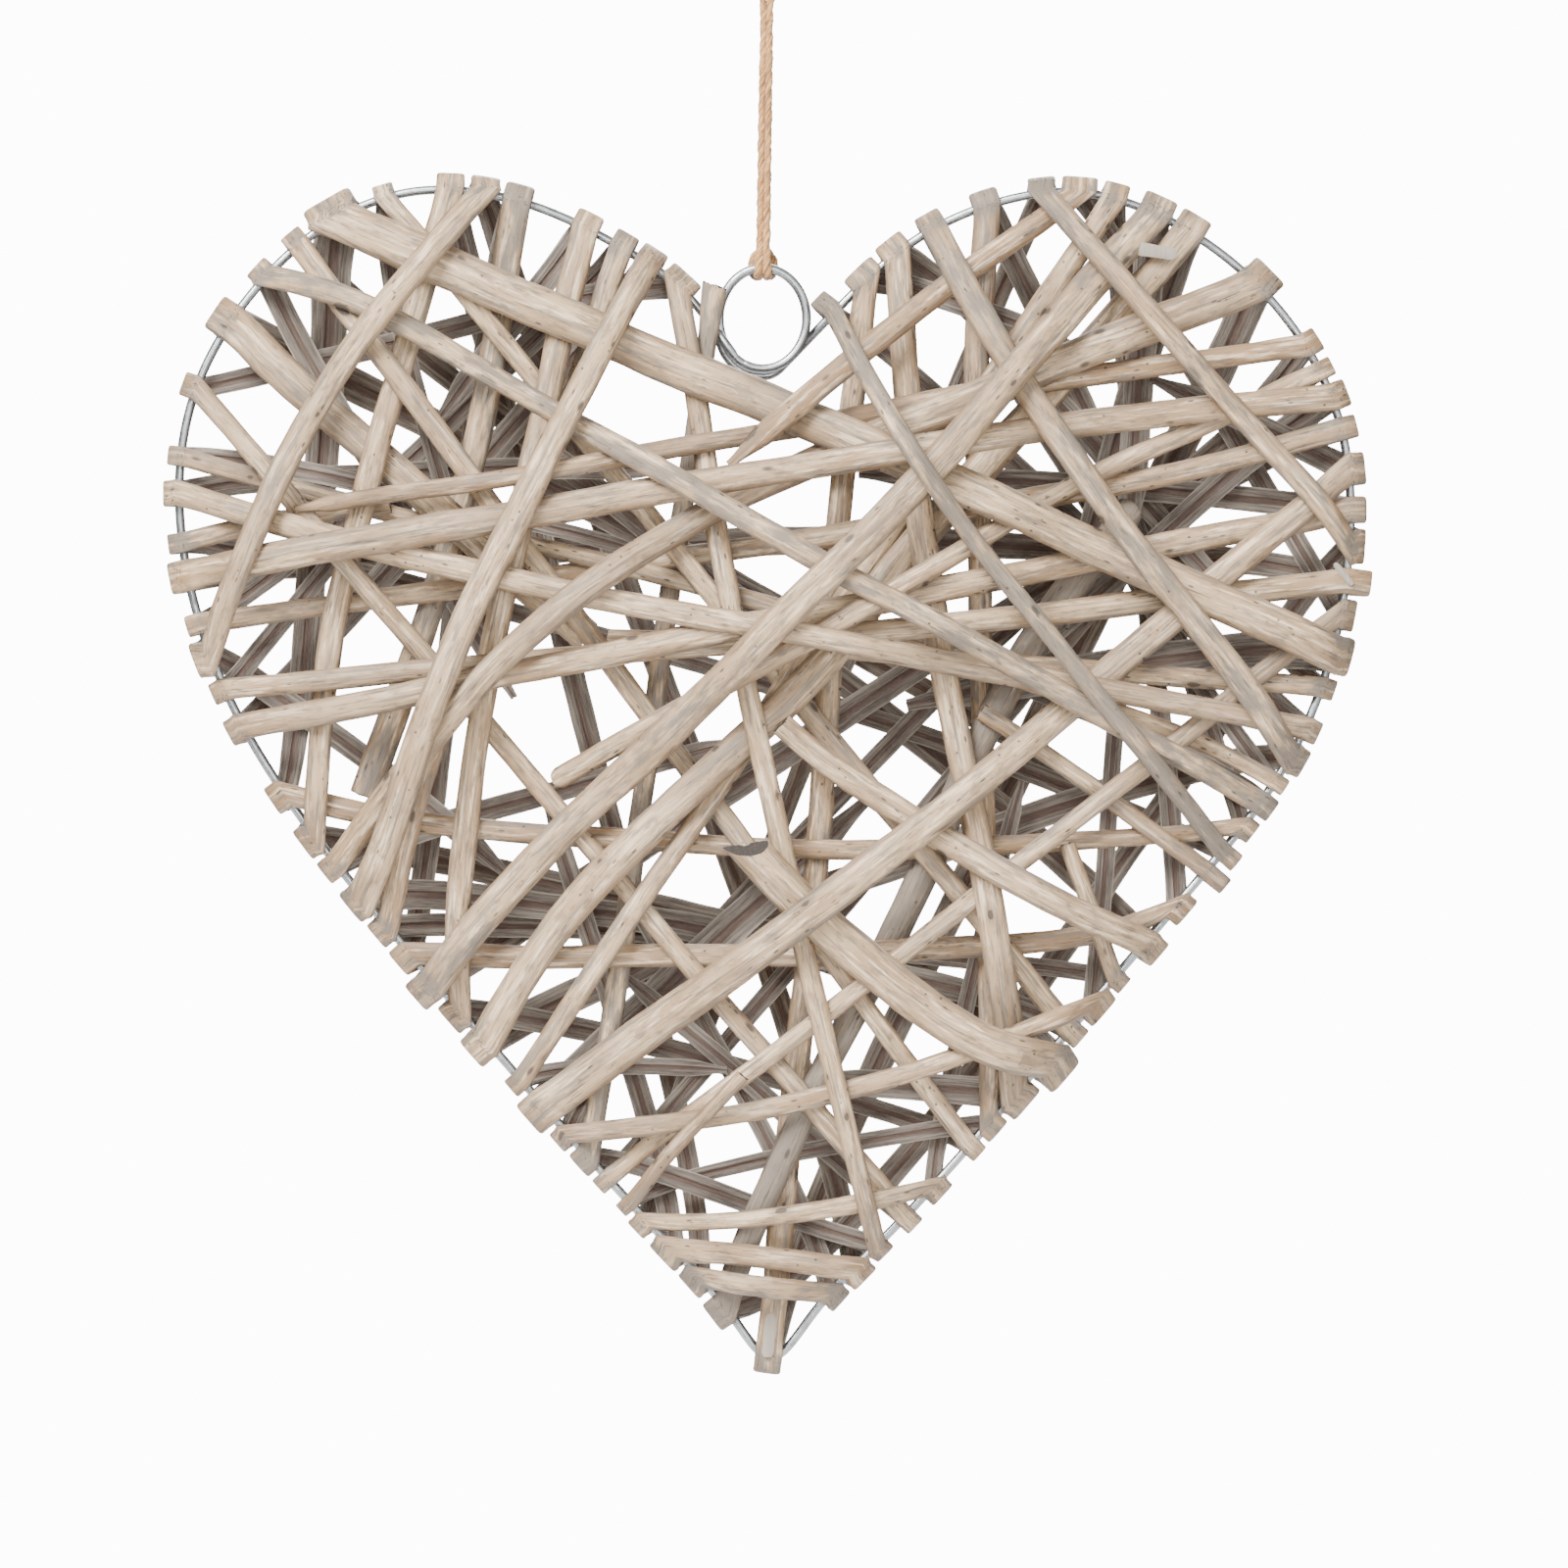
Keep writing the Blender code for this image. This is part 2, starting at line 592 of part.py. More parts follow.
def back_cost(a, b, rim):
    """How badly the back run between two folds would suit the way the rod comes to them."""
    start, end = rim.point(a.station), rim.point(b.station)
    away = end - start
    length = np.linalg.norm(away)
    if a.run is b.run or length < SHORTEST_BACK or not stays_inside(start, end):
        return UNFIT_COST + HEART_WIDTH / max(length, WIRE_DIAMETER)
    cost = 0.0
    for fold, line in ((a, away), (b, -away)):
        outward = rim.outward(fold.station)
        mirrored = fold.leaving - 2 * np.dot(fold.leaving, outward) * outward
        cost += 1 - np.dot(mirrored, line) / length
        shallow = abs(np.dot(outward, line)) / length
        cost += max(0.0, SHALLOWEST_SINE - shallow) * SHALLOW_COST
    return cost


def pair_folds(ends, rim):
    """Joins the folds in twos by the back runs that best carry on from the front ones."""
    cost = np.array([[back_cost(a, b, rim) for b in ends] for a in ends])
    cost = (cost + cost.T) / 2
    pairs = []
    free = set(range(len(ends)))
    for flat in np.argsort(cost, axis=None, kind="stable"):
        i, j = divmod(int(flat), len(ends))
        if i in free and j in free and i != j:
            free -= {i, j}
            pairs.append([i, j])
    better = True
    while better:
        better = False
        for p in range(len(pairs)):
            for q in range(p):
                (a, b), (c, d) = pairs[p], pairs[q]
                now = cost[a, b] + cost[c, d]
                for one, two in (((a, c), (b, d)), ((a, d), (b, c))):
                    if cost[one] + cost[two] < now - HAIR:
                        pairs[p], pairs[q] = list(one), list(two)
                        better = True
                        break
    for i, j in pairs:
        ends[i].partner = ends[j]
        ends[j].partner = ends[i]


def front_curve(run, ends, rim):
    """The centre of a front run, from rim or tip to rim or tip."""
    spots = [place(point) for point in run.points]
    for index, end in ((0, ends[0]), (-1, ends[1])):
        if end.kind == RIM:
            spots[index] = rim.point(end.station)
    return smooth_curve(spots, RUN_POINTS)


def back_curve(start, end, rim):
    """The centre of a back run, leaving each fold nearly as the front runs come to it."""
    first, last = rim.point(start.station), rim.point(end.station)
    reach = np.linalg.norm(last - first) * BACK_PULL
    pulls = []
    for fold in (start, end):
        outward = rim.outward(fold.station)
        pulls.append((fold.leaving - 2 * np.dot(fold.leaving, outward) * outward) * reach)
    share = np.linspace(0, 1, RUN_POINTS)[:, None]
    curve = (
        first * (2 * share**3 - 3 * share**2 + 1)
        + pulls[0] * (share**3 - 2 * share**2 + share)
        + last * (3 * share**2 - 2 * share**3)
        - pulls[1] * (share**3 - share**2)
    )
    return evenly(curve, RUN_POINTS)


def back_runs(ends, rim):
    """The back runs, one for each two folds that are joined."""
    found = []
    for end in ends:
        if end.partner is not None and end.station < end.partner.station:
            curve = back_curve(end, end.partner, rim)
            found.append(Laid(BACK, curve, [end, end.partner]))
    return found


def follow_rods(fronts, backs):
    """Follows the rods from run to run, ending one on the back where it would grow too long."""
    back_of = {id(end): back for back in backs for end in back.ends}
    unused = list(fronts)
    rods = []
    tipped = [run for run in fronts if TIP in (run.ends[0].kind, run.ends[1].kind)]
    for seed in tipped + fronts:
        if seed not in unused:
            continue
        run = seed
        entry = run.ends[1] if run.ends[1].kind == TIP else run.ends[0]
        rod = []
        length = 0.0
        while run is not None:
            unused.remove(run)
            rod.append((run, entry))
            leave = run.other(entry)
            back = back_of.get(id(leave))
            run = None
            if back is not None:
                entry = back.other(leave)
                length += rod[-1][0].length + back.length
                if length < LONGEST_ROD_SPANS * HEART_WIDTH and entry.run in unused:
                    rod.append((back, leave))
                    run = entry.run
        rods.append(rod)
    return rods


def cut_back(back):
    """The two short runs, each ending in a tip, that stand for a back run where two rods end."""
    halves = []
    for fold, curve in ((back.ends[0], back.curve), (back.ends[1], back.curve[::-1])):
        part = points_at(curve, np.linspace(0, back.length * TIP_SHARE, RUN_POINTS))
        halves.append(Laid(BACK, part, [fold, End(TIP, fold.width * TIP_NARROWING)]))
    return halves


def fold_rings(end, rim, from_side):
    """The sections of a rod round the wire, from one side of the heart to the other."""
    station = end.station
    centre, outward = rim.point(station), rim.outward(station)
    tangent = rim.tangent(station) * end.fold_half
    depth = rim.depth(station)
    thickness = end.width * ROD_THICKNESS / ROD_WIDTH
    first = end.slope[from_side]
    last = math.pi - end.slope[-from_side]
    steps = max(1, math.ceil((last - first) / FOLD_FACET))
    rings = []
    for share in np.linspace(0, 1, steps + 1):
        angle = first * (1 - share) + last * share
        inner = end.radius[from_side] * (1 - share) + end.radius[-from_side] * share
        outer = inner + thickness
        ring = []
        for out, radius in ((-1, inner), (1, inner), (TOP_SHARE, outer), (-TOP_SHARE, outer)):
            spot = centre + outward * radius * math.sin(angle) - tangent * out * from_side
            ring.append((spot[0], depth + from_side * radius * math.cos(angle), spot[1]))
        rings.append(ring)
    return rings


def rod_rings(rod, rim, tails):
    """All the sections of one rod, from tip to tip."""
    rings = []
    first_run, first_entry = rod[0]
    if first_entry.kind == RIM:
        tail = tails[id(first_entry)]
        rings += tail.sections(reverse=True)
        rings += fold_rings(first_entry, rim, BACK)
    for index, (run, entry) in enumerate(rod):
        reverse = entry is run.ends[1]
        rings += run.sections(reverse)
        leave = run.ends[0] if reverse else run.ends[1]
        if leave.kind == RIM:
            rings += fold_rings(leave, rim, run.side)
            if index == len(rod) - 1:
                rings += tails[id(leave)].sections(reverse=False)
    return rings


def loft(name, rings, material, collection):
    """One closed solid through a row of four-cornered sections."""
    mesh = bmesh.new()
    rows = [[mesh.verts.new(corner) for corner in ring] for ring in rings]
    for one, two in zip(rows[:-1], rows[1:]):
        for i in range(4):
            j = (i + 1) % 4
            mesh.faces.new((one[i], one[j], two[j], two[i]))
    mesh.faces.new(rows[0][::-1])
    mesh.faces.new(rows[-1])
    bmesh.ops.triangulate(mesh, faces=mesh.faces, quad_method="FIXED")
    bmesh.ops.recalc_face_normals(mesh, faces=mesh.faces)
    data = bpy.data.meshes.new(name)
    mesh.to_mesh(data)
    mesh.free()
    data.materials.append(material)
    thing = bpy.data.objects.new(name, data)
    collection.objects.link(thing)
    return thing


def tube(name, points, diameter, material, collection):
    """One round wire or cord along a row of points, with flat ends."""
    data = bpy.data.curves.new(name, "CURVE")
    data.dimensions = "3D"
    data.bevel_depth = diameter / 2
    data.bevel_resolution = 2
    data.use_fill_caps = True
    line = data.splines.new("POLY")
    line.points.add(len(points) - 1)
    for spot, target in zip(points, line.points):
        target.co = (*spot, 1)
    line.use_smooth = True
    data.materials.append(material)
    thing = bpy.data.objects.new(name, data)
    collection.objects.link(thing)
    return thing


def finish(name, colour, roughness, metallic):
    """A plain Principled material."""
    material = bpy.data.materials.new(name)
    material.use_nodes = True
    shader = material.node_tree.nodes["Principled BSDF"]
    shader.inputs["Base Color"].default_value = (*colour, 1)
    shader.inputs["Roughness"].default_value = roughness
    shader.inputs["Metallic"].default_value = metallic
    material.diffuse_color = (*colour, 1)
    return material


class WireLine:
    """The centre of the whole wire, from the lower left of the ring round the heart and the coil."""

    def __init__(self, rim):
        self.rim = rim
        self.points = self.outline() + self.coil()

    def outline(self):
        """Points round the heart, closer together where the wire bends more."""
        found = [0.0]
        last = self.rim.tangent(0.0)
        for station in np.arange(WIRE_DIAMETER, self.rim.length, WIRE_DIAMETER):
            tangent = self.rim.tangent(station)
            if np.dot(tangent, last) < math.cos(WIRE_TURN) or station - found[-1] > WIRE_SPACING:
                found.append(station)
                last = tangent
        return [self.in_space(self.rim.point(s), self.rim.depth(s)) for s in found]

    def coil(self):
        """Points round the ring, from where the right side joins it to just short of the left."""
        steps = round(RING_STEPS * COIL_ANGLE / (2 * math.pi))
        short = WIRE_DIAMETER / (RING_HALF_WIDTH * SQUARE)
        found = []
        for step in range(steps + 1):
            share = step / steps
            spot = ring_point(RING_JOIN_ANGLE - share * (COIL_ANGLE - short))
            found.append(self.in_space(spot, COIL_DEPTH * (0.5 - share)))
        return found

    def in_space(self, spot, depth):
        """The point at a flat place and a distance behind the middle plane."""
        return np.array((spot[0], depth, spot[1]))

    def top_samples(self, side):
        """Points along the side of the wire that faces front or back."""
        line = np.array(self.points)
        line = points_at(line, np.arange(0, lengths_along(line)[-1], SAMPLE_STEP))
        return np.stack([line[:, 0], line[:, 2], side * line[:, 1] + WIRE_RADIUS], axis=1)


def twine_points():
    """The centre of the twine, from behind the ring round the hitch, the loop and the hitch again."""
    ring_top = place((RING_CENTRE[0], RING_TOP_SQUARE))
    reach = COIL_PITCH / 2 + WIRE_RADIUS + TWINE_GAP + TWINE_DIAMETER / 2
    under = WIRE_RADIUS + TWINE_GAP + TWINE_DIAMETER / 2
    beside = TWINE_DIAMETER / 2 + TWINE_GAP / 2
    thick = TWINE_DIAMETER
    loop = LOOP_WIDTH / 2
    top = -ring_top[1]
    half = [
        (TWINE_GAP / 2, reach + 0.1 * thick, 1.8 * thick),
        (1.0 * thick, reach + 0.1 * thick, 1.6 * thick),
        (1.6 * thick, reach + 0.1 * thick, 0.5 * thick),
        (1.5 * thick, reach, -0.6 * under),
        (1.2 * thick, 0.55 * reach, -1.15 * under),
        (0.95 * thick, -0.2 * reach, -1.15 * under),
        (0.85 * thick, -0.9 * reach, -0.85 * under),
        (0.8 * thick, -1.05 * reach, 0.3 * thick),
        (0.65 * thick, -0.85 * reach, 1.6 * thick),
        (beside, -0.3 * reach, 3.6 * thick),
        (beside, 0, 6 * thick),
        (beside, 0, 0.3 * top),
        (beside, 0, 0.55 * top),
        (beside, 0, top - 3.6 * loop),
        (0.45 * loop, 0, top - 2.4 * loop),
        (0.95 * loop, 0, top - 1.2 * loop),
        (0.72 * loop, 0, top - 0.2 * loop),
        (0, 0, top + thick / 2),
    ]
    route = half + [(-x, y, z) for x, y, z in half[-2::-1]]
    route = [(ring_top[0] * (1 - max(0, z) / top) + x, y, ring_top[1] + z) for x, y, z in route]
    return smooth_curve(route, TWINE_POINTS)


def lay_rods(rim, wire):
    """Every rod, as its runs in order, and the short runs in which cut rods end on the back."""
    fronts = []
    ends = []
    for plan in FRONT_RUNS:
        two = front_ends(plan, rim)
        fronts.append(Laid(FRONT, None, two))
        fronts[-1].plan = plan
        for end in two:
            end.run = fronts[-1]
        ends += [end for end in two if end.kind == RIM]
    pair_folds(ends, rim)
    spread(ends, rim)
    for run in fronts:
        run.follow(front_curve(run.plan, run.ends, rim))
    backs = back_runs(ends, rim)
    rods = follow_rods(fronts, backs)
    carried = [id(run) for rod in rods for run, _ in rod if run.side == BACK]
    tails = {}
    laid_backs = []
    for back in backs:
        if id(back) in carried:
            laid_backs.append(back)
            continue
        for half in cut_back(back):
            tails[id(half.ends[0])] = half
            laid_backs.append(half)
    laid_backs.sort(key=lambda run: run.length)
    for side, runs in ((FRONT, fronts), (BACK, laid_backs)):
        laid = []
        for run in runs:
            run.place_sections(rim)
            run.lay(laid, wire.top_samples(side), rim)
            laid.append(run)
    return rods, tails


def main():
    """Builds the wire, the twine and the rods."""
    for thing in list(bpy.data.objects):
        bpy.data.objects.remove(thing)
    collection = bpy.data.collections.new("wicker_heart")
    bpy.context.scene.collection.children.link(collection)
    willow = finish("split_willow", (0.52, 0.43, 0.34), 0.75, 0.0)
    steel = finish("galvanised_steel", (0.36, 0.38, 0.40), 0.35, 1.0)
    jute = finish("jute_twine", (0.58, 0.40, 0.23), 0.9, 0.0)
    rim = Rim()
    wire = WireLine(rim)
    tube("heart_wire", wire.points, WIRE_DIAMETER, steel, collection)
    tube("twine", twine_points(), TWINE_DIAMETER, jute, collection)
    rods, tails = lay_rods(rim, wire)
    for number, rod in enumerate(rods, 1):
        loft(f"willow_rod_{number:02d}", rod_rings(rod, rim, tails), willow, collection)


if __name__ == "__main__":
    main()
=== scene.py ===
"""Wicker heart: split willow rods wound over a bent galvanised wire, hung by a loop of twine.

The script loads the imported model, puts a finished piece in the place of each of its solids and
sets them in a plain pale studio. The rods are laid by the same rules as the solids: each one is
a springy strip that rests on the wire and on the rods under it. Lengths are in metres, +Z is up
and the front of the heart faces -Y.
"""

import logging
import math
from collections.abc import Sequence
from dataclasses import dataclass, field, fields
from enum import Enum, IntEnum

import bmesh
import bpy
import numpy as np
from mathutils import Matrix, Vector, noise


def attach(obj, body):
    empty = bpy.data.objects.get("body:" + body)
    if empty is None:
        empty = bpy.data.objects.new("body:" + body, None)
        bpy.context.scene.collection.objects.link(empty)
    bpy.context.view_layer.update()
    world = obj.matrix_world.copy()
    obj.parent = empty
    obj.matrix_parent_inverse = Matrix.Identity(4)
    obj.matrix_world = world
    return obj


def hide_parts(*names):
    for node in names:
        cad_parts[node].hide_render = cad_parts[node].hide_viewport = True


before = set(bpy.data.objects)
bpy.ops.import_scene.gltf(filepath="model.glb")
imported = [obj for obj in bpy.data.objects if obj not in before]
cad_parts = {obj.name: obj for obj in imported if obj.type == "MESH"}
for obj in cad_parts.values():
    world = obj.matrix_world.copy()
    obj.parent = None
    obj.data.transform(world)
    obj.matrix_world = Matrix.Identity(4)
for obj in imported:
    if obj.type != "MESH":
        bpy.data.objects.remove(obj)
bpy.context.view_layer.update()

logger = logging.getLogger("wicker_heart")

Square = tuple[float, float]
Colour = tuple[float, float, float]
Source = bpy.types.NodeSocket | float | Sequence[float]


class Side(IntEnum):
    """The side of the heart that a run lies on, as the sign of Y there."""

    FRONT = -1
    BACK = 1


class EndKind(Enum):
    """How a run of a rod ends."""

    FOLD = "fold"
    SQUARE = "square"
    SCOOPED = "scooped"
    ROUNDED = "rounded"
    TAPERED = "tapered"
    TORN = "torn"


@dataclass(frozen=True)
class RunPlan:
    """One run of a rod across the front, in squares of the drawing."""

    widths: tuple[float, float]  # The rod's width at the start and at the end
    points: tuple[Square, ...]  # Places that its centre passes through
    tan: float  # How tan the bark is there, from 0, pale, to 1
    grey: float  # How weathered it is there, from 0 to 1
    start: EndKind = EndKind.FOLD  # How the run starts
    end: EndKind = EndKind.FOLD  # How it ends


# The rods are listed in the order they are laid, deepest first
FRONT_RUNS = (
    RunPlan((28, 20), ((1003, 197), (1003, 300), (997, 380), (1004, 760), (1020, 1145)), 0.6, 0.5),
    RunPlan((26, 28), ((878, 262), (856, 520), (835, 850), (800, 1200), (785, 1392)), 0.55, 0.45),
    RunPlan(
        (34, 28), ((1158, 515), (1030, 700), (955, 860), (865, 1045), (757, 1278), (737, 1338)),
        0.65, 0.95, start=EndKind.ROUNDED,
    ),
    RunPlan(
        (30, 30), ((532, 190), (490, 430), (430, 650), (370, 812)), 0.45, 0.6, end=EndKind.SQUARE,
    ),
    RunPlan(
        (20, 23), ((729, 288), (687, 590), (630, 1000), (604, 1180)), 0.3, 0.65, start=EndKind.TORN,
    ),
    RunPlan((24, 19), ((277, 820), (460, 843), (850, 865), (1050, 863), (1287, 858)), 0.65, 0.2),
    RunPlan((25, 22), ((420, 990), (650, 975), (1100, 955), (1215, 938)), 0.7, 0.25),
    RunPlan(
        (21, 19), ((1353, 695), (1150, 688), (950, 672), (620, 650)), 0.5, 0.4, end=EndKind.SQUARE,
    ),
    RunPlan((22, 24), ((192, 650), (480, 600), (1110, 500), (1376, 438)), 0.5, 0.35),
    RunPlan((20, 18), ((182, 466), (420, 530), (650, 583), (1190, 745), (1310, 792)), 0.4, 0.2),
    RunPlan((19, 19), ((1237, 893), (1110, 800), (1000, 725)), 0.5, 0.4, end=EndKind.SQUARE),
    RunPlan((18, 18), ((1140, 1008), (1088, 860)), 0.5, 0.4, end=EndKind.SQUARE),
    RunPlan((21, 21), ((182, 556), (260, 537), (400, 515)), 0.5, 0.5, end=EndKind.SQUARE),
    RunPlan((25, 22), ((638, 243), (615, 310), (580, 420)), 0.3, 0.5, end=EndKind.SQUARE),
    RunPlan((25, 22), ((392, 957), (430, 810), (450, 750)), 0.5, 0.4, end=EndKind.SQUARE),
    RunPlan((38, 34), ((228, 322), (400, 478), (600, 651)), 0.3, 0.35, end=EndKind.SQUARE),
    RunPlan((28, 25), ((462, 190), (395, 430), (340, 650), (313, 862)), 0.35, 0.3),
    RunPlan((22, 22), ((195, 392), (925, 1240)), 0.35, 0.15),
    RunPlan((24, 20), ((303, 250), (1003, 1160)), 0.25, 0.15),
    RunPlan((20, 24), ((393, 198), (1092, 1045)), 0.25, 0.2),
    RunPlan((25, 21), ((1132, 198), (527, 1118)), 0.4, 0.4),
    RunPlan((28, 26), ((603, 225), (555, 430), (505, 660), (468, 930), (457, 1035)), 0.35, 0.25),
    RunPlan((33, 36), ((1217, 217), (900, 600), (830, 690), (600, 910), (480, 1055)), 0.35, 0.3),
    RunPlan((19, 22), ((605, 1198), (1375, 628)), 0.3, 0.25),
    RunPlan((28, 32), ((903, 256), (937, 520), (978, 760), (1025, 1040), (1040, 1125)), 0.35, 0.25),
    RunPlan((21, 21), ((578, 1170), (850, 1115), (1122, 1038)), 0.55, 0.2),
    RunPlan((19, 19), ((648, 1256), (760, 1245), (958, 1218)), 0.45, 0.2),
    RunPlan((16, 16), ((640, 1232), (700, 1160), (760, 1095)), 0.6, 0.2, end=EndKind.SQUARE),
    RunPlan((25, 25), ((678, 1282), (880, 1302)), 0.45, 0.25),
    RunPlan((22, 22), ((702, 1310), (870, 1327)), 0.4, 0.5),
    RunPlan((25, 20), ((692, 280), (738, 580), (808, 910), (898, 1287)), 0.35, 0.15),
    RunPlan((22, 26), ((220, 707), (620, 668), (880, 647), (1386, 596)), 0.4, 0.2),
    RunPlan((27, 27), ((240, 748), (1390, 528)), 0.4, 0.25),
    RunPlan(
        (20, 24), ((1353, 376), (1100, 495), (960, 575), (565, 798)),
        0.4, 0.25, end=EndKind.ROUNDED,
    ),
    RunPlan(
        (18, 24), ((303, 521), (600, 476), (980, 405), (1342, 346)),
        0.7, 0.1, start=EndKind.TAPERED,
    ),
    RunPlan(
        (30, 26), ((1178, 972), (1000, 880), (850, 785), (795, 740)), 0.3, 0.25, end=EndKind.SQUARE,
    ),
    RunPlan(
        (40, 43), ((762, 862), (850, 950), (1000, 1060), (1068, 1095)),
        0.35, 0.3, start=EndKind.SCOOPED,
    ),
    RunPlan((28, 40), ((1380, 478), (1180, 645), (1050, 755), (870, 895), (543, 1135)), 0.3, 0.2),
    RunPlan((26, 24), ((176, 502), (430, 572), (780, 642), (1342, 747)), 0.2, 0.15),
    RunPlan((38, 26), ((1297, 275), (900, 445), (715, 530), (520, 668), (336, 885)), 0.4, 0.3),
    RunPlan((44, 40), ((340, 218), (700, 378), (960, 488), (1150, 575), (1390, 657)), 0.3, 0.35),
    RunPlan((24, 24), ((1098, 193), (900, 345), (745, 478)), 0.8, 0.1, end=EndKind.TAPERED),
    RunPlan((33, 28), ((180, 592), (500, 533), (1000, 450), (1370, 402)), 0.45, 0.15),
    RunPlan((25, 25), ((258, 270), (350, 303), (560, 420), (1150, 745), (1292, 822)), 0.3, 0.6),
    RunPlan((28, 28), ((947, 222), (1080, 450), (1250, 680), (1325, 788)), 0.3, 0.55),
    RunPlan((34, 34), ((1190, 207), (950, 478), (740, 692), (520, 905), (438, 1005)), 0.3, 0.45),
    RunPlan((28, 33), ((670, 265), (548, 490), (470, 655), (395, 860), (368, 928)), 0.3, 0.2),
    RunPlan((24, 24), ((1072, 190), (1160, 310), (1340, 510), (1388, 575)), 0.45, 0.5),
    RunPlan((20, 20), ((850, 322), (940, 480), (1100, 690), (1252, 875)), 0.4, 0.7),
    RunPlan((27, 27), ((497, 178), (327, 414), (203, 662)), 0.25, 0.3),
)

# Knots and scars on the front rods, each with its radius
MARKS = (
    ((762, 448), 6.5), ((230, 332), 3), ((327, 422), 2.5), ((255, 487), 2.5), ((352, 317), 5),
    ((487, 284), 4.5), ((474, 266), 3.5), ((732, 765), 2.5), ((750, 802), 2.5), ((822, 922), 2.5),
    ((1121, 537), 3), ((1066, 318), 3), ((1035, 393), 2.5), ((862, 1137), 2.5), ((799, 1232), 3),
    ((620, 430), 2.5), ((940, 600), 2.5), ((1220, 700), 3), ((610, 880), 2.5), ((1010, 930), 3),
)

# Pale chips that lie on the rods: the rod's number, the middle, the way to the tip and the width
CHIPS = (
    (8, (1173, 257), (26, 4), 14),
    (14, (785, 1362), (-2, 22), 13),
    (18, (1370, 586), (9, 11), 7),
)

# A chip's sections from end to end, each with its width, and the outline of one
CHIP_SIZES = ((-1, 0.45), (-0.85, 0.8), (-0.3, 1.0), (0.3, 0.9), (0.8, 0.95), (1, 0.6))
CHIP_EDGE = ((-1, 4e-4), (-1, -3e-4), (-0.3, -7e-4), (0.45, -6e-4), (1, -2e-4), (1, 4e-4))

# The centre of the wire, from the lower left of the ring round the point to its lower right
WIRE_SQUARES = (
    (700, 300), (650, 262), (550, 212), (460, 194), (400, 200), (325, 235), (245, 315), (193, 420),
    (187, 560), (240, 725), (350, 890), (495, 1060), (655, 1240), (745, 1340), (787, 1385),
    (830, 1340), (915, 1250), (1075, 1070), (1225, 895), (1335, 735), (1378, 530), (1352, 390),
    (1260, 270), (1145, 205), (1065, 197), (985, 218), (920, 255), (862, 308),
)


def unit(vector: np.ndarray) -> np.ndarray:
    """The vector of length one in the same direction."""
    return vector / np.linalg.norm(vector)


def units(rows: np.ndarray) -> np.ndarray:
    """The same for each row of vectors."""
    return rows / np.linalg.norm(rows, axis=1)[:, None]


def in_space(flat: np.ndarray, depth: np.ndarray | float) -> np.ndarray:
    """Places across and up, set at distances behind the middle plane."""
    return np.stack([flat[..., 0], 0 * flat[..., 0] + depth, flat[..., 1]], axis=-1)


def flat_cross(a: np.ndarray, b: np.ndarray) -> np.ndarray:
    """The cross product of flat vectors, one or both of them rows of vectors."""
    return a[..., 0] * b[..., 1] - a[..., 1] * b[..., 0]


def lengths_along(curve: np.ndarray) -> np.ndarray:
    """The distance along a curve of each of its points."""
    return np.concatenate([[0], np.cumsum(np.linalg.norm(np.diff(curve, axis=0), axis=1))])


def points_at(curve: np.ndarray, distances: Sequence[float]) -> np.ndarray:
    """The points of a curve at the given distances along it."""
    along = lengths_along(curve)
    return np.stack([np.interp(distances, along, column) for column in curve.T], axis=1)


def evenly(curve: np.ndarray, count: int) -> np.ndarray:
    """The same curve with evenly spaced points."""
    return points_at(curve, np.linspace(0, lengths_along(curve)[-1], count))


def smooth_curve(points: Sequence[Sequence[float]], count: int) -> np.ndarray:
    """Draws the natural cubic spline through some points.

    Args:
        points: The places it passes through.
        count: How many evenly spaced points it gets.

    Returns:
        One row for each point.
    """
    points = np.asarray(points, float)
    if len(points) == 2:
        share = np.linspace(0, 1, count)[:, None]
        return points[0] * (1 - share) + points[1] * share
    chord = np.linalg.norm(np.diff(points, axis=0), axis=1)
    knots = np.concatenate([[0], np.cumsum(np.sqrt(chord))])
    step = np.diff(knots)
    last = len(points) - 1
    system = np.eye(last + 1)
    wanted = np.zeros_like(points)
    for i in range(1, last):
        system[i, i - 1] = step[i - 1]
        system[i, i] = 2 * (step[i - 1] + step[i])
        system[i, i + 1] = step[i]
        rise = (points[i + 1] - points[i]) / step[i] - (points[i] - points[i - 1]) / step[i - 1]
        wanted[i] = 6 * rise
    bend = np.linalg.solve(system, wanted)
    at = np.linspace(0, knots[-1], RULES.curve_fineness * count)
    k = np.clip(np.searchsorted(knots, at, side="right") - 1, 0, last - 1)
    left = (at - knots[k])[:, None]
    right = (knots[k + 1] - at)[:, None]
    span = step[k][:, None]
    curve = (
        bend[k] * right**3 / (6 * span)
        + bend[k + 1] * left**3 / (6 * span)
        + (points[k] / span - bend[k] * span / 6) * right
        + (points[k + 1] / span - bend[k + 1] * span / 6) * left
    )
    return evenly(curve, count)


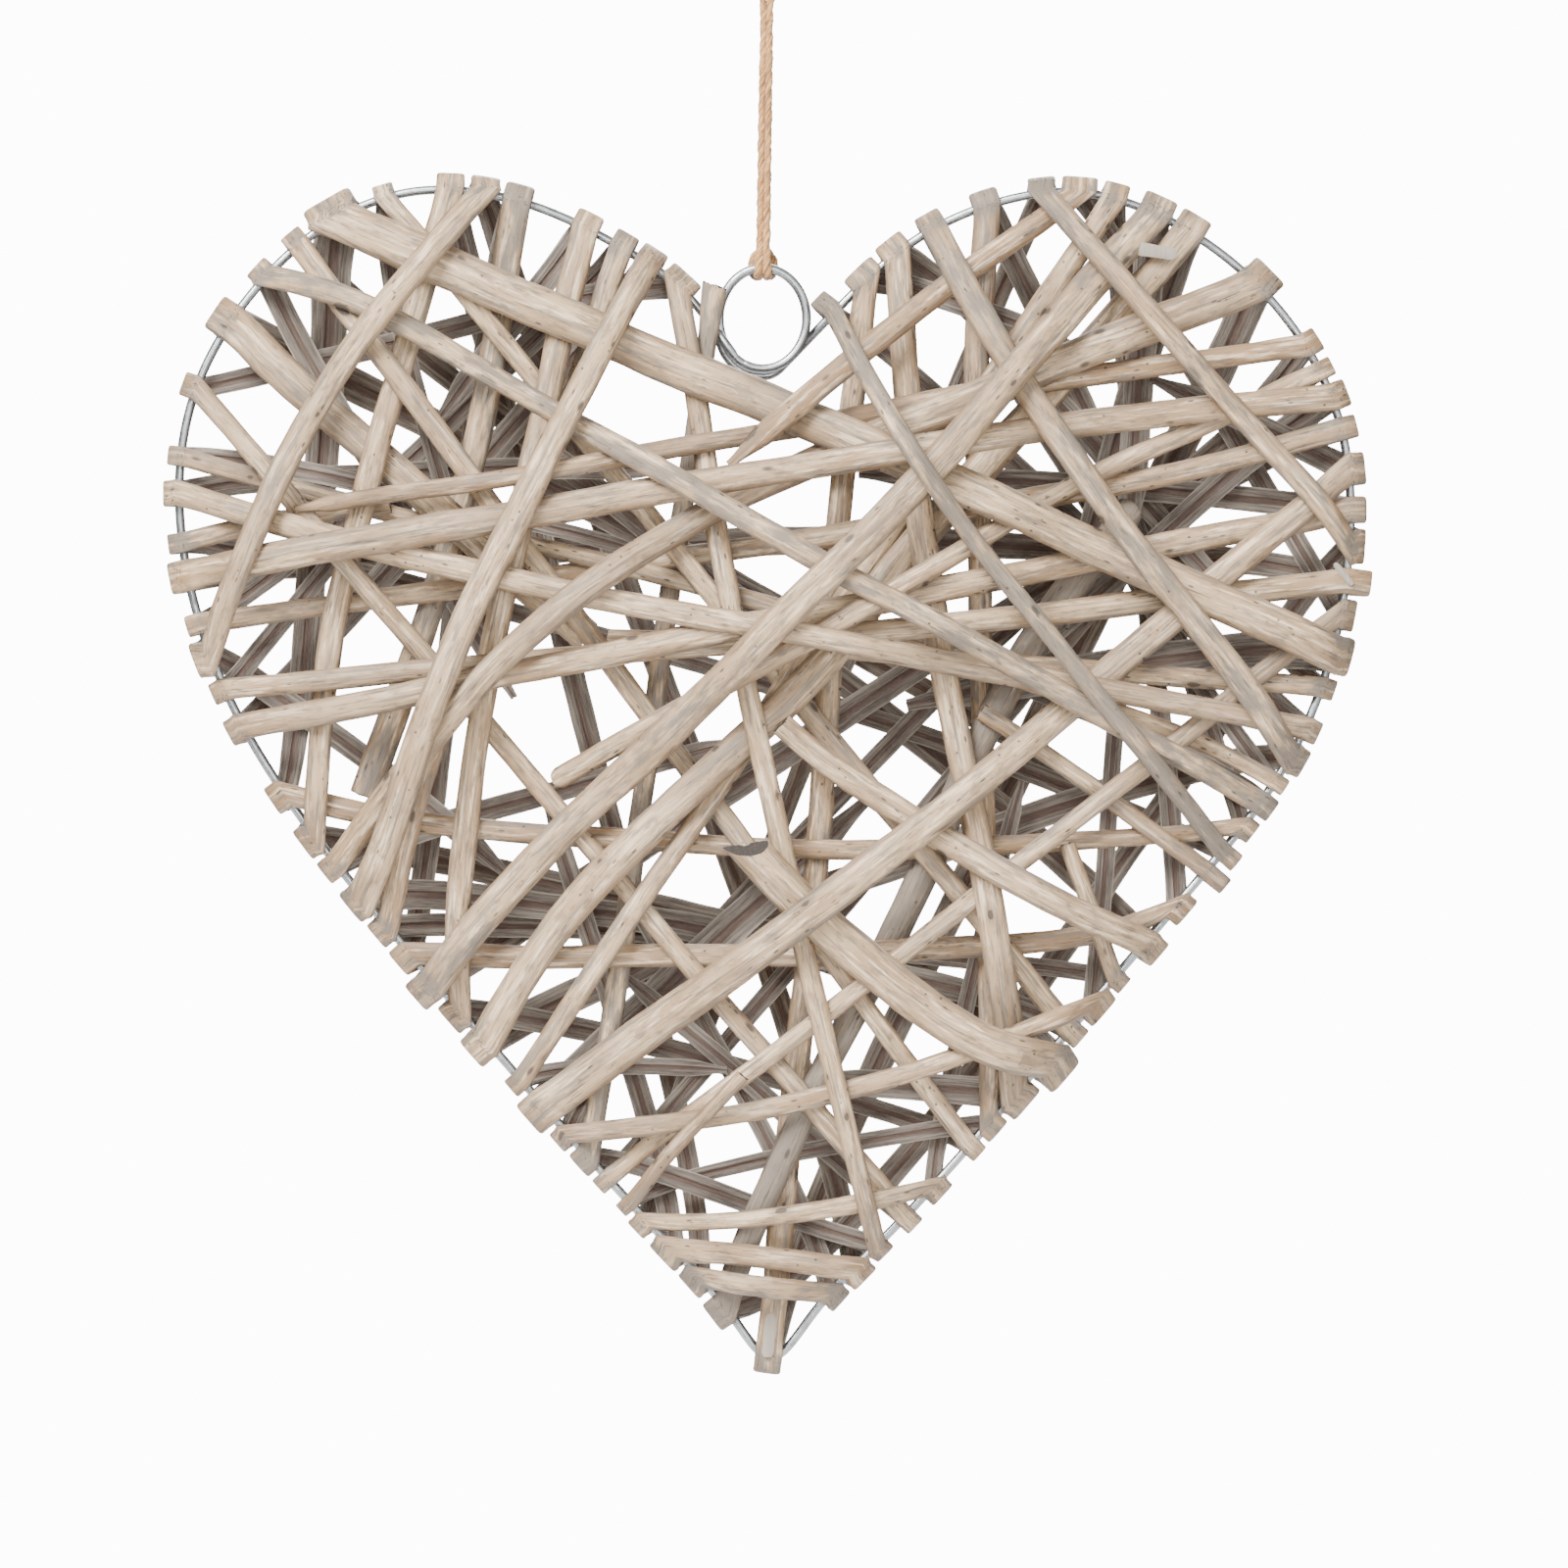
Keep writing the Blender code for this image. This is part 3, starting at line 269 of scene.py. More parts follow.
def easy_line(x: np.ndarray, y: np.ndarray, at: np.ndarray) -> np.ndarray:
    """Joins heights by a smooth line that never swings past them.

    Args:
        x: Where the heights are, rising.
        y: The heights.
        at: Where the line is wanted.

    Returns:
        The line's height at each of those places.
    """
    gap = np.diff(x)
    slope = np.diff(y) / gap
    lean = np.zeros(len(x))
    lean[0], lean[-1] = slope[0], slope[-1]
    same = slope[:-1] * slope[1:] > 0
    before, after = slope[:-1][same], slope[1:][same]
    lean[1:-1][same] = 2 * before * after / (before + after)
    k = np.clip(np.searchsorted(x, at, side="right") - 1, 0, len(x) - 2)
    share = (at - x[k]) / gap[k]
    return (
        y[k] * (1 + 2 * share) * (1 - share) ** 2
        + lean[k] * gap[k] * share * (1 - share) ** 2
        + y[k + 1] * share**2 * (3 - 2 * share)
        - lean[k + 1] * gap[k] * share**2 * (1 - share)
    )


def wander(at: np.ndarray, length: float, seed: float) -> np.ndarray:
    """Smooth random values, about -1 to 1, at distances along a line; the seed picks them."""
    return np.array([noise.noise(Vector((s / length, seed, 0.37 * seed))) * 2 for s in at])


@dataclass(frozen=True)
class Drawing:
    """The squared drawing that the face of the heart is laid out on."""

    heart_width: float = 0.400
    hang_length: float = 0.102
    heart_squares: float = 1229.0
    centre_square: float = 783.0
    middle_square: float = 800.0
    squares: float = 1600.0
    rod_width: float = 0.0085
    rod_squares: float = 26.0
    ring_centre: Square = (778.5, 325.0)
    ring_half_width: float = 44.5
    ring_half_height: float = 51.5

    @property
    def square(self) -> float:
        """The side of a square."""
        return self.heart_width / self.heart_squares

    @property
    def rod_scale(self) -> float:
        """What one square of a rod's width stands for."""
        return self.rod_width / self.rod_squares

    @property
    def ring_top(self) -> float:
        """The square of the top of the ring's centre line."""
        return self.ring_centre[1] - self.ring_half_height

    def place(self, square: Square) -> np.ndarray:
        """The place, across and up, of a place on the drawing."""
        up = (self.ring_top - square[1]) * self.square - self.hang_length
        return np.array(((square[0] - self.centre_square) * self.square, up))


@dataclass(frozen=True)
class Clearances:
    """The gaps that touching pieces keep."""

    laid: float = 0.0005
    wire: float = 0.0010
    rim: float = 0.0015
    coil: float = 0.0003
    twine: float = 0.0003


@dataclass(frozen=True)
class LayingRules:
    """How the rods are laid, the same as for the solids."""

    rod_thickness: float = 0.0033
    crown_height: float = 0.008
    longest_rod: float = 3.125
    cleft_floor: float = 400.0
    top_share: float = 0.54
    least_sine: float = 0.55
    section_spacing: float = 0.038
    rim_run: float = 0.009
    sample_step: float = 0.0015
    fold_facet: float = math.radians(75)
    tip_share: float = 0.42
    spring_reach: float = 0.025
    spring_steps: int = 3000
    steepest: float = math.radians(55)
    loosen_step: float = 0.0004
    laying_rounds: int = 20
    rough_force: float = 1e-7
    hair: float = 1e-6
    fold_margin: float = 1.3
    side_margin: float = 0.7
    rim_margin: float = 0.25
    tip_narrowing: float = 0.85
    back_pull: float = 0.45
    shallowest_sine: float = 0.45
    shallow_cost: float = 4.0
    unfit_cost: float = 50.0
    spreading_rounds: int = 4000
    run_points: int = 120
    curve_fineness: int = 20
    cap_samples: int = 12


DRAWING = Drawing()
GAPS = Clearances()
RULES = LayingRules()

# Which column of a section's tone says how bent the rod is
BEND = 2

# What a point's mark says where there is none near
FAR = 9.0


def smooth_share(value: np.ndarray) -> np.ndarray:
    """Eases a share in from 0 and out to 1."""
    share = np.clip(value, 0, 1)
    return share * share * (3 - 2 * share)


@dataclass
class Sections:
    """Cross-sections along a rod, one row for each."""

    centre: np.ndarray  # The middle of the split face
    half: np.ndarray  # The step from there to the rod's edge
    lift: np.ndarray  # The step from there to the top of the bark
    tone: np.ndarray  # How tan, how grey and how bent the rod is there

    @property
    def along(self) -> np.ndarray:
        """The distance of each section along the rod."""
        return lengths_along(self.centre + self.lift / 2)

    def picked(self, rows: np.ndarray) -> "Sections":
        """Some of the sections, in a new order."""
        return Sections(self.centre[rows], self.half[rows], self.lift[rows], self.tone[rows])

    @staticmethod
    def joined(parts: Sequence["Sections"]) -> "Sections":
        """Puts the sections of several stretches in one row."""
        names = [item.name for item in fields(Sections)]
        return Sections(*(np.concatenate([getattr(p, name) for p in parts]) for name in names))


def ripple(along: np.ndarray, length: float, phases: np.ndarray) -> np.ndarray:
    """Uneven waves along a line.

    Args:
        along: Distances along the line.
        length: The distance over which the waves change.
        phases: Numbers that each pick another row of waves.

    Returns:
        For each distance, a value from -1 to 1 for each phase.
    """
    turns = along[:, None] / length
    slow = np.sin(2.3 * turns + 5.1 * phases)
    return 0.6 * slow + 0.4 * np.sin(5.9 * turns + 9.7 * phases + slow)


def extrude_through(mesh: bmesh.types.BMesh, rows: np.ndarray) -> tuple[np.ndarray, np.ndarray]:
    """Adds a closed section that is extruded from one place to the next.

    Args:
        mesh: The mesh that it is added to.
        rows: For each place, where the corners of the section stand.

    Returns:
        The number of the place and the number of the corner of each new point.
    """
    before = len(mesh.verts)
    last, count = len(rows) - 1, rows.shape[1]
    first = bmesh.ops.create_circle(mesh, cap_ends=True, segments=count, radius=1.0)["verts"]
    grown = bmesh.ops.extrude_face_region(mesh, geom=[first[0].link_faces[0]])["geom"]
    far = [thing for thing in grown if isinstance(thing, bmesh.types.BMVert)]
    bmesh.ops.translate(mesh, verts=far, vec=(0.0, 0.0, last))
    sides = [edge for end in far for edge in end.link_edges if edge.other_vert(end) not in far]
    bmesh.ops.subdivide_edges(mesh, edges=sides, cuts=last - 1)
    mesh.verts.ensure_lookup_table()
    places, corners = [], []
    for vertex in mesh.verts[before:]:
        x, y, z = vertex.co
        places.append(round(z))
        corners.append(round(math.atan2(-x, y) / (2 * math.pi / count)) % count)
        vertex.co = rows[places[-1]][corners[-1]]
    return np.array(places), np.array(corners)


def write_points(data: bpy.types.Mesh, name: str, kind: str, values: np.ndarray) -> None:
    """Gives each point of a mesh a value of its own.

    Args:
        data: The mesh.
        name: The attribute's name.
        kind: Its type, FLOAT, FLOAT_VECTOR or FLOAT_COLOR.
        values: One row for each point.
    """
    attribute = data.attributes.new(name, kind, "POINT")
    key = {"FLOAT": "value", "FLOAT_VECTOR": "vector", "FLOAT_COLOR": "color"}[kind]
    attribute.data.foreach_set(key, np.ascontiguousarray(values, np.float32).ravel())


def finished(
    mesh: bmesh.types.BMesh, name: str, finishes: Sequence[bpy.types.Material]
) -> bpy.types.Mesh:
    """Turns the faces of a made mesh outwards and dresses it.

    Args:
        mesh: The mesh, which is used up.
        name: Its name.
        finishes: The looks of its faces.

    Returns:
        The mesh as a piece can hold it.
    """
    bmesh.ops.recalc_face_normals(mesh, faces=mesh.faces)
    data = bpy.data.meshes.new(name)
    mesh.to_mesh(data)
    mesh.free()
    for finish in finishes:
        data.materials.append(finish)
    return data


def settle(data: bpy.types.Mesh, node: str, crease: float) -> bpy.types.Object:
    """Puts a finished mesh in the scene in place of its solid.

    Args:
        data: The mesh.
        node: The solid that it stands for.
        crease: Edges that bend more than this stay sharp.

    Returns:
        The piece.
    """
    data.shade_smooth()
    data.set_sharp_from_angle(angle=crease)
    piece = bpy.data.objects.new(data.name, data)
    bpy.context.scene.collection.objects.link(piece)
    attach(piece, "root")
    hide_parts(node)
    logger.info("%s: %d faces", piece.name, len(data.polygons))
    return piece


@dataclass
class WireHeart:
    """The galvanised wire: the heart's outline and the ring in its cleft, in one piece."""

    diameter: float = 0.003
    ring_turns: int = 2  # How often the wire goes round the ring
    join_angle: float = math.radians(38)  # Where the outline joins the ring, from its lowest point
    outline_points: int = 900  # How many points the outline is worked out in
    spacing: float = 0.032  # The longest straight step of the outline
    turn: float = math.radians(8)  # The largest bend between two steps
    ring_steps: int = 16  # Steps in one turn of the ring
    fine_sides: int = 24  # Sides of the finished wire
    fine_step: float = 0.0022  # The length of a step of the finished wire
    # How far the hindmost turn of the finished ring hangs below the others
    ring_drop: float = 0.0022
    curve: np.ndarray = field(init=False)  # The outline, in even steps
    along: np.ndarray = field(init=False)  # The distance of each of its points along it

    def __post_init__(self) -> None:
        """Works out the outline between the two places where it joins the ring."""
        inner = [DRAWING.place(square) for square in WIRE_SQUARES]
        route = [self.ring_point(-self.join_angle), *inner, self.ring_point(self.join_angle)]
        self.curve = smooth_curve(route, self.outline_points)
        self.along = lengths_along(self.curve)

    @property
    def length(self) -> float:
        """The length of the outline."""
        return self.along[-1]

    @property
    def radius(self) -> float:
        """Half the wire's thickness."""
        return self.diameter / 2

    @property
    def fold_radius(self) -> float:
        """How far the inside of a fold stays from the centre of a straight wire."""
        return self.radius + GAPS.wire

    @property
    def coil_pitch(self) -> float:
        """The distance between the turns of the ring."""
        return self.diameter + GAPS.coil

    @property
    def coil_angle(self) -> float:
        """How far round the ring the wire goes."""
        return 2 * math.pi * self.ring_turns + 2 * self.join_angle

    @property
    def coil_depth(self) -> float:
        """How far the coil reaches from front to back, between its centre lines."""
        return self.coil_pitch * self.coil_angle / (2 * math.pi)

    def ring_point(self, angle: float) -> np.ndarray:
        """A place on the centre of the ring's wire, the angle taken from its lowest point."""
        x, y = DRAWING.ring_half_width * math.sin(angle), DRAWING.ring_half_height * math.cos(angle)
        return DRAWING.place((DRAWING.ring_centre[0] + x, DRAWING.ring_centre[1] + y))

    def station(self, point: np.ndarray) -> float:
        """The distance along the outline of its nearest place to a point."""
        return self.along[np.argmin(np.linalg.norm(self.curve - point, axis=1))]

    def point(self, station: float) -> np.ndarray:
        """The place at a distance along the outline."""
        return points_at(self.curve, [station])[0]

    def tangent(self, station: float) -> np.ndarray:
        """The direction of the outline at a distance along it."""
        near = points_at(self.curve, [station - 2 * self.diameter, station + 2 * self.diameter])
        return unit(near[1] - near[0])

    def outward(self, station: float) -> np.ndarray:
        """The direction out of the heart at a distance along the outline."""
        tangent = self.tangent(station)
        return np.array((tangent[1], -tangent[0]))

    def bulge(self, station: float, half: float) -> float:
        """How far the wire stands outside the straight line of a fold.

        Args:
            station: Where the fold's middle is along the outline.
            half: Half the fold's length.

        Returns:
            The largest distance, or 0.
        """
        stations = station + np.linspace(-1, 1, RULES.cap_samples + 1) * RULES.fold_margin * half
        beside = points_at(self.curve, stations) - self.point(station)
        return max(0.0, float((beside @ self.outward(station)).max()))

    def depth(self, station: float) -> float:
        """How far the wire stands behind the middle plane beside the ring's coil.

        Args:
            station: The distance along the outline.

        Returns:
            The distance, less than 0 in front of that plane.
        """
        blend = 6 * self.coil_pitch
        from_left = min(1, station / blend)
        from_right = min(1, (self.length - station) / blend)
        left = (1 + math.cos(math.pi * from_left)) / 2
        right = (1 + math.cos(math.pi * from_right)) / 2
        return (right - left) * self.coil_depth / 2

    def coarse_line(self) -> np.ndarray:
        """The centre of the whole wire, as the solid has it.

        Returns:
            One point for each of its corners.
        """
        found = [0.0]
        last = self.tangent(0.0)
        for station in np.arange(self.diameter, self.length, self.diameter):
            tangent = self.tangent(station)
            bent = np.dot(tangent, last) < math.cos(self.turn)
            if bent or station - found[-1] > self.spacing:
                found.append(station)
                last = tangent
        outline = [in_space(self.point(s), self.depth(s)) for s in found]
        return np.array(outline + self.coil(self.ring_steps))

    def fine_line(self) -> np.ndarray:
        """The centre of the whole finished wire.

        Returns:
            Its points, in short steps.
        """
        stations = np.linspace(0, self.length, round(self.length / self.fine_step))[:-1]
        outline = [in_space(self.point(s), self.depth(s)) for s in stations]
        return np.array(outline + self.coil(6 * self.ring_steps, self.ring_drop))

    def coil(self, steps_a_turn: int, drop: float = 0.0) -> list[np.ndarray]:
        """Goes round the ring, from where the right side joins it to just short of the left.

        Args:
            steps_a_turn: How many steps one turn takes.
            drop: How far the first turn hangs below the others.

        Returns:
            The points of the wire's centre.
        """
        steps = round(steps_a_turn * self.coil_angle / (2 * math.pi))
        short = self.diameter / (DRAWING.ring_half_width * DRAWING.square)
        found = []
        for step in range(steps + 1):
            share = step / steps
            angle = self.join_angle - share * (self.coil_angle - short)
            slack = smooth_share((self.join_angle - angle) / 0.6)
            slack = drop * slack * smooth_share((angle + 1.9) / 1.4)
            spot = self.ring_point(angle) + slack * np.array((math.sin(angle), -math.cos(angle)))
            found.append(in_space(spot, self.coil_depth * (0.5 - share)))
        return found

    def top_samples(self, side: Side) -> np.ndarray:
        """Samples the wire's front or back.

        Args:
            side: Which of them.

        Returns:
            Points along it: across, up, and height over the middle plane.
        """
        line = self.coarse_line()
        line = points_at(line, np.arange(0, lengths_along(line)[-1], RULES.sample_step))
        return np.stack([line[:, 0], line[:, 2], side * line[:, 1] + self.radius], axis=1)

    def build(self, finish: bpy.types.Material) -> None:
        """Makes the finished wire.

        Args:
            finish: The look of the metal.
        """
        line = self.fine_line()
        along = lengths_along(line)
        ahead = units(np.gradient(line, axis=0))
        side = units(np.cross(ahead, (0.0, 1.0, 0.0)))
        out = np.cross(side, ahead)
        around = np.linspace(0, 2 * math.pi, self.fine_sides, endpoint=False)[None, :, None]
        near = np.minimum(along, along[-1] - along) / (0.3 * self.radius)
        size = self.radius * (0.8 + 0.2 * np.sqrt(1 - (1 - np.clip(near, 0, 1)) ** 2))
        ring = side[:, None] * np.cos(around) + out[:, None] * np.sin(around)
        mesh = bmesh.new()
        extrude_through(mesh, line[:, None] + ring * size[:, None, None])
        data = finished(mesh, "galvanised_wire", [finish])
        settle(data, "heart_wire", math.radians(50))


@dataclass(eq=False)
class RodEnd:
    """One end of a run: a fold over the wire, or a free tip."""

    kind: EndKind
    width: float
    station: float = 0.0  # Where a fold is along the wire
    leaving: np.ndarray | None = None  # The direction in which the front run comes to a fold
    run: "RodRun | None" = None  # The front run that it belongs to
    partner: "RodEnd | None" = None  # The fold that the back run leads to
    fold_half: float = 0.0  # Half the fold's length along the wire
    # How steeply the run rises out of the fold on each side
    slope: dict[Side, float] = field(default_factory=dict)
    # How far the fold's inside stays from the wire's centre on each side
    radius: dict[Side, float] = field(default_factory=dict)

    @property
    def folds(self) -> bool:
        """Whether the rod goes on round the wire here."""
        return self.kind is EndKind.FOLD

    def half_length(self, wire: WireHeart) -> float:
        """Half the length of the fold, along the wire."""
        sine = abs(np.dot(self.leaving, wire.outward(self.station)))
        return self.width / 2 / max(RULES.least_sine, sine)


@dataclass(eq=False)
class RodRun:
    """One run of a rod on one side of the heart, laid over what is under it."""

    side: Side
    ends: list[RodEnd]
    curve: np.ndarray | None = None  # Its centre, across and up
    tone: tuple[float, float] = (0.4, 0.3)  # How tan and how grey the bark is
    samples: np.ndarray | None = None
    force: np.ndarray | None = None
    distances: np.ndarray | None = None
    points: np.ndarray | None = None
    widths: np.ndarray | None = None
    thicknesses: np.ndarray | None = None
    across: np.ndarray | None = None
    heights: np.ndarray | None = None

    @property
    def length(self) -> float:
        """The length of the run's centre."""
        return lengths_along(self.curve)[-1]

    def other(self, end: RodEnd) -> RodEnd:
        """The end that is not the given one."""
        return self.ends[0] if end is self.ends[1] else self.ends[1]

    def folds(self) -> list[tuple[int, RodEnd]]:
        """The run's folds, each with the index of its section."""
        return [(index, self.ends[index]) for index in (0, -1) if self.ends[index].folds]

    def leavings(self) -> tuple[np.ndarray, np.ndarray]:
        """The ways out of the heart.

        Returns:
            The direction in which the run leaves it at each end.
        """
        length = self.length
        step = points_at(self.curve, [0, RULES.rim_run, length - RULES.rim_run, length])
        return unit(step[0] - step[1]), unit(step[3] - step[2])

    def place_sections(self, wire: WireHeart) -> None:
        """Sets where the rod's sections stand and how wide they are.

        Args:
            wire: The wire that the run folds over.
        """
        run_in = []
        for end, leaving in zip(self.ends, self.leavings()):
            run = RULES.rim_run
            if end.folds:
                run += end.half_length(wire) * abs(np.dot(leaving, wire.tangent(end.station)))
            run_in.append(run)
        middle = self.length - sum(run_in)
        count = max(1, round(middle / RULES.section_spacing))
        inner = run_in[0] + np.linspace(0, 1, count + 1) * middle
        self.distances = np.concatenate([[0], inner, [self.length]])
        self.points = points_at(self.curve, self.distances)
        self.widths = self.width_at(self.distances)
        self.thicknesses = self.widths * RULES.rod_thickness / DRAWING.rod_width
        before = points_at(self.curve, self.distances - wire.diameter)
        after = points_at(self.curve, self.distances + wire.diameter)
        along = units(after - before)
        self.across = np.stack([along[:, 1], -along[:, 0]], axis=1) * self.widths[:, None] / 2
        for index, end in self.folds():
            flat = wire.tangent(end.station) * end.fold_half
            self.across[index] = flat * np.sign(np.dot(flat, self.across[index]))

    def width_at(self, distances: np.ndarray) -> np.ndarray:
        """The rod's width at distances along the run."""
        share = distances / self.length
        return self.ends[0].width * (1 - share) + self.ends[1].width * share

    def slope_at(self, index: int, wire: WireHeart) -> float:
        """How steeply the run rises out of the fold at one of its ends.

        Args:
            index: The fold's section, 0 or -1.
            wire: The wire that it folds over.

        Returns:
            The angle.
        """
        station = self.ends[index].station
        neighbour = 1 if index == 0 else -2
        away = self.points[neighbour] - wire.point(station)
        inward = abs(np.dot(away, wire.outward(station)))
        return max(0.0, math.atan2(self.heights[neighbour] - self.heights[index], inward))

    def crown(self, wire: WireHeart) -> np.ndarray:
        """The least height of the springy rod over the middle plane, at each section."""
        share, length = self.distances / self.length, min(1, self.length / DRAWING.heart_width)
        return wire.fold_radius + RULES.crown_height * length * 4 * share * (1 - share)

    def lay(self, others: list["RodRun"], wire_samples: np.ndarray, wire: WireHeart) -> None:
        """Lays the run over the wire and the runs already laid on its side.

        Args:
            others: The runs under it.
            wire_samples: Points along the wire.
            wire: The wire.
        """
        self.heights = self.crown(wire)
        needs = self.needs([wire_samples] + [run.top_samples() for run in others])
        folds = self.folds()
        radius = {index: end.radius[self.side] for index, end in folds}
        depth = {index: self.side * wire.depth(end.station) for index, end in folds}
        for _ in range(RULES.laying_rounds):
            for index, _end in folds:
                slope = self.slope_at(index, wire)
                self.heights[index] = radius[index] / math.cos(slope) + depth[index]
            self.rest_on(needs, [index for index, _end in folds], wire)
            for index, _end in folds:
                radius[index] += self.too_tight(index, needs, wire)
        for index, end in folds:
            slope = self.slope_at(index, wire)
            end.slope[self.side] = slope
            end.radius[self.side] = (self.heights[index] - depth[index]) * math.cos(slope)

    def too_tight(self, index: int, needs: tuple[np.ndarray, ...], wire: WireHeart) -> float:
        """How much further a fold has to stand off the wire for the run to rise out of it.

        Args:
            index: The fold's section.
            needs: Where and how high the run's underside has to stand.
            wire: The wire that it folds over.

        Returns:
            The missing distance.
        """
        beside = needs[0] == (0 if index == 0 else len(self.points) - 2)
        short = self.shortfall(needs)[beside].max() if beside.any() else 0.0
        if self.slope_at(index, wire) > RULES.steepest:
            short = max(short, RULES.loosen_step)
        return max(short, RULES.loosen_step) if short > RULES.hair else 0.0

    def shortfall(self, needs: tuple[np.ndarray, ...]) -> np.ndarray:
        """How far below each needed height the underside is."""
        interval, share, need = needs
        return need - self.heights[interval] * (1 - share) - self.heights[interval + 1] * share

    def rest_on(self, needs: tuple[np.ndarray, ...], folds: list[int], wire: WireHeart) -> None:
        """Bends the run, as a springy rod, over what it has to clear between its folds.

        Args:
            needs: Where and how high its underside has to stand.
            folds: The sections that its folds hold.
            wire: The wire that it folds over.
        """
        interval, share, need = needs
        crown = self.crown(wire)
        count = len(self.heights)
        free = np.setdiff1d(np.arange(count), np.array(folds, int) % count)
        held = np.setdiff1d(np.arange(count), free)
        rows = np.zeros((len(need), count))
        rows[np.arange(len(need)), interval] = 1 - share
        rows[np.arange(len(need)), interval + 1] = share
        within = self.distance_from_rim(share, interval) > wire.radius
        rows, need = rows[within], need[within]
        spring = self.spring_matrix()
        pushed = self.heights[held] - crown[held]
        give = np.linalg.inv(spring[np.ix_(free, free)])
        lift = -give @ spring[np.ix_(free, held)] @ pushed
        short = need - rows @ crown - rows[:, held] @ pushed - rows[:, free] @ lift
        answer = give @ rows[:, free].T
        force = self.force if self.force is not None else np.zeros(len(need))
        lift = lift + answer @ force
        short = short - rows[:, free] @ (answer @ force)
        own = (rows[:, free].T * answer).sum(axis=0)
        for _ in range(RULES.spring_steps if len(need) else 0):
            change = np.maximum(short / own, -force)
            worst = int(np.argmax(np.abs(change * np.sqrt(own))))
            if abs(change[worst] * own[worst]) < RULES.rough_force:
                break
            force[worst] += change[worst]
            lift += answer[:, worst] * change[worst]
            short -= rows[:, free] @ answer[:, worst] * change[worst]
        self.heights[free] = crown[free] + lift
        self.force = force

    def spring_matrix(self) -> np.ndarray:
        """How the rod resists a bend away from its crown, and a shift of all of it.

        Returns:
            The stiffness between the heights of its sections.
        """
        gaps = np.diff(self.distances)
        count = len(self.distances)
        bending = np.zeros((count - 2, count))
        for k in range(count - 2):
            span = math.sqrt((gaps[k] + gaps[k + 1]) / 2)
            bending[k, k] = 1 / gaps[k] / span
            bending[k, k + 2] = 1 / gaps[k + 1] / span
            bending[k, k + 1] = -bending[k, k] - bending[k, k + 2]
        about = (np.append(gaps, 0) + np.insert(gaps, 0, 0)) / 2
        return bending.T @ bending + np.diag(about) / RULES.spring_reach**4

    def needs(self, others: list[np.ndarray]) -> tuple[np.ndarray, ...]:
        """Finds where on this run, and how high, its underside has to stand.

        Args:
            others: Points all over what lies under it.

        Returns:
            The interval, the share along it and the height of each such place.
        """
        everything = np.concatenate(others)
        found = []
        for k in range(len(self.points) - 1):
            middle = (self.points[k] + self.points[k + 1]) / 2
            reach = np.linalg.norm(self.points[k + 1] - middle)
            reach += np.abs(self.across[k : k + 2]).max() * 2
            samples = everything[np.linalg.norm(everything[:, :2] - middle, axis=1) < reach]
            share, offset, half = self.local(samples[:, :2], k)
            room = self.distance_from_rim(share, k)
            margin = np.minimum(RULES.side_margin * RULES.sample_step, RULES.rim_margin * room)
            spare = RULES.sample_step / np.linalg.norm(self.points[k + 1] - self.points[k])
            first = -spare if k == 0 and not self.ends[0].folds else 0
            last = 1 + spare if k == len(self.points) - 2 and not self.ends[1].folds else 1
            hit = (share >= first) & (share <= last) & (np.abs(offset) <= half + margin)
            risen = self.risen_share(samples[hit, :2], k)
            rows = np.full(hit.sum(), k), risen, samples[hit, 2] + GAPS.laid
            found.append(np.stack(rows, axis=1))
        found = np.concatenate(found)
        return found[:, 0].astype(int), found[:, 1], found[:, 2]

    def distance_from_rim(self, share: np.ndarray, k: int) -> np.ndarray:
        """The distance along the run from its nearest fold.

        Args:
            share: Shares of the way along an interval.
            k: The interval.

        Returns:
            The distance at each of them, endless where the run has no fold.
        """
        at = self.distances[k] * (1 - share) + self.distances[k + 1] * share
        room = np.full(len(share), np.inf)
        if self.ends[0].folds:
            room = np.minimum(room, at)
        if self.ends[1].folds:
            room = np.minimum(room, self.length - at)
        return np.maximum(room, 0)

    def local(self, points: np.ndarray, k: int) -> tuple[np.ndarray, np.ndarray, np.ndarray]:
        """Where some points are, as seen from an interval of the run.

        Args:
            points: The points, across and up.
            k: The interval.

        Returns:
            Each one's share of the way along it, its offset across and the half width there.
        """
        start, step = self.points[k], self.points[k + 1] - self.points[k]
        across, change = self.across[k], self.across[k + 1] - self.across[k]
        share = (points - start) @ step / (step @ step)
        for _ in range(3):
            inside = np.clip(share, -0.2, 1.2)
            section = across + inside[:, None] * change
            away = points - start - inside[:, None] * step
            wrong = away[:, 0] * section[:, 1] - away[:, 1] * section[:, 0]
            gain = step[0] * section[:, 1] - step[1] * section[:, 0]
            share = inside + wrong / gain
        section = across + np.clip(share, 0, 1)[:, None] * change
        half = np.linalg.norm(section, axis=1)
        away = points - start - share[:, None] * step
        return share, (away * section).sum(axis=1) / half, half

    def risen_share(self, points: np.ndarray, k: int) -> np.ndarray:
        """How far towards its next height the underside's facet is.

        Args:
            points: Points under the run, across and up.
            k: The interval that they are in.

        Returns:
            The share at each of them.
        """
        near = self.points[k] - self.side * self.across[k]
        far = self.points[k + 1] + self.side * self.across[k + 1]
        low = self.points[k] + self.side * self.across[k]
        high = self.points[k + 1] - self.side * self.across[k + 1]
        diagonal = far - near
        beyond = flat_cross(diagonal, points - near) * flat_cross(diagonal, low - near) < 0
        on_low = flat_cross(low - near, points - near) / flat_cross(low - near, far - near)
        on_high = 1 - flat_cross(high - far, points - far) / flat_cross(high - far, near - far)
        return np.clip(np.where(beyond, on_high, on_low), 0, 1)

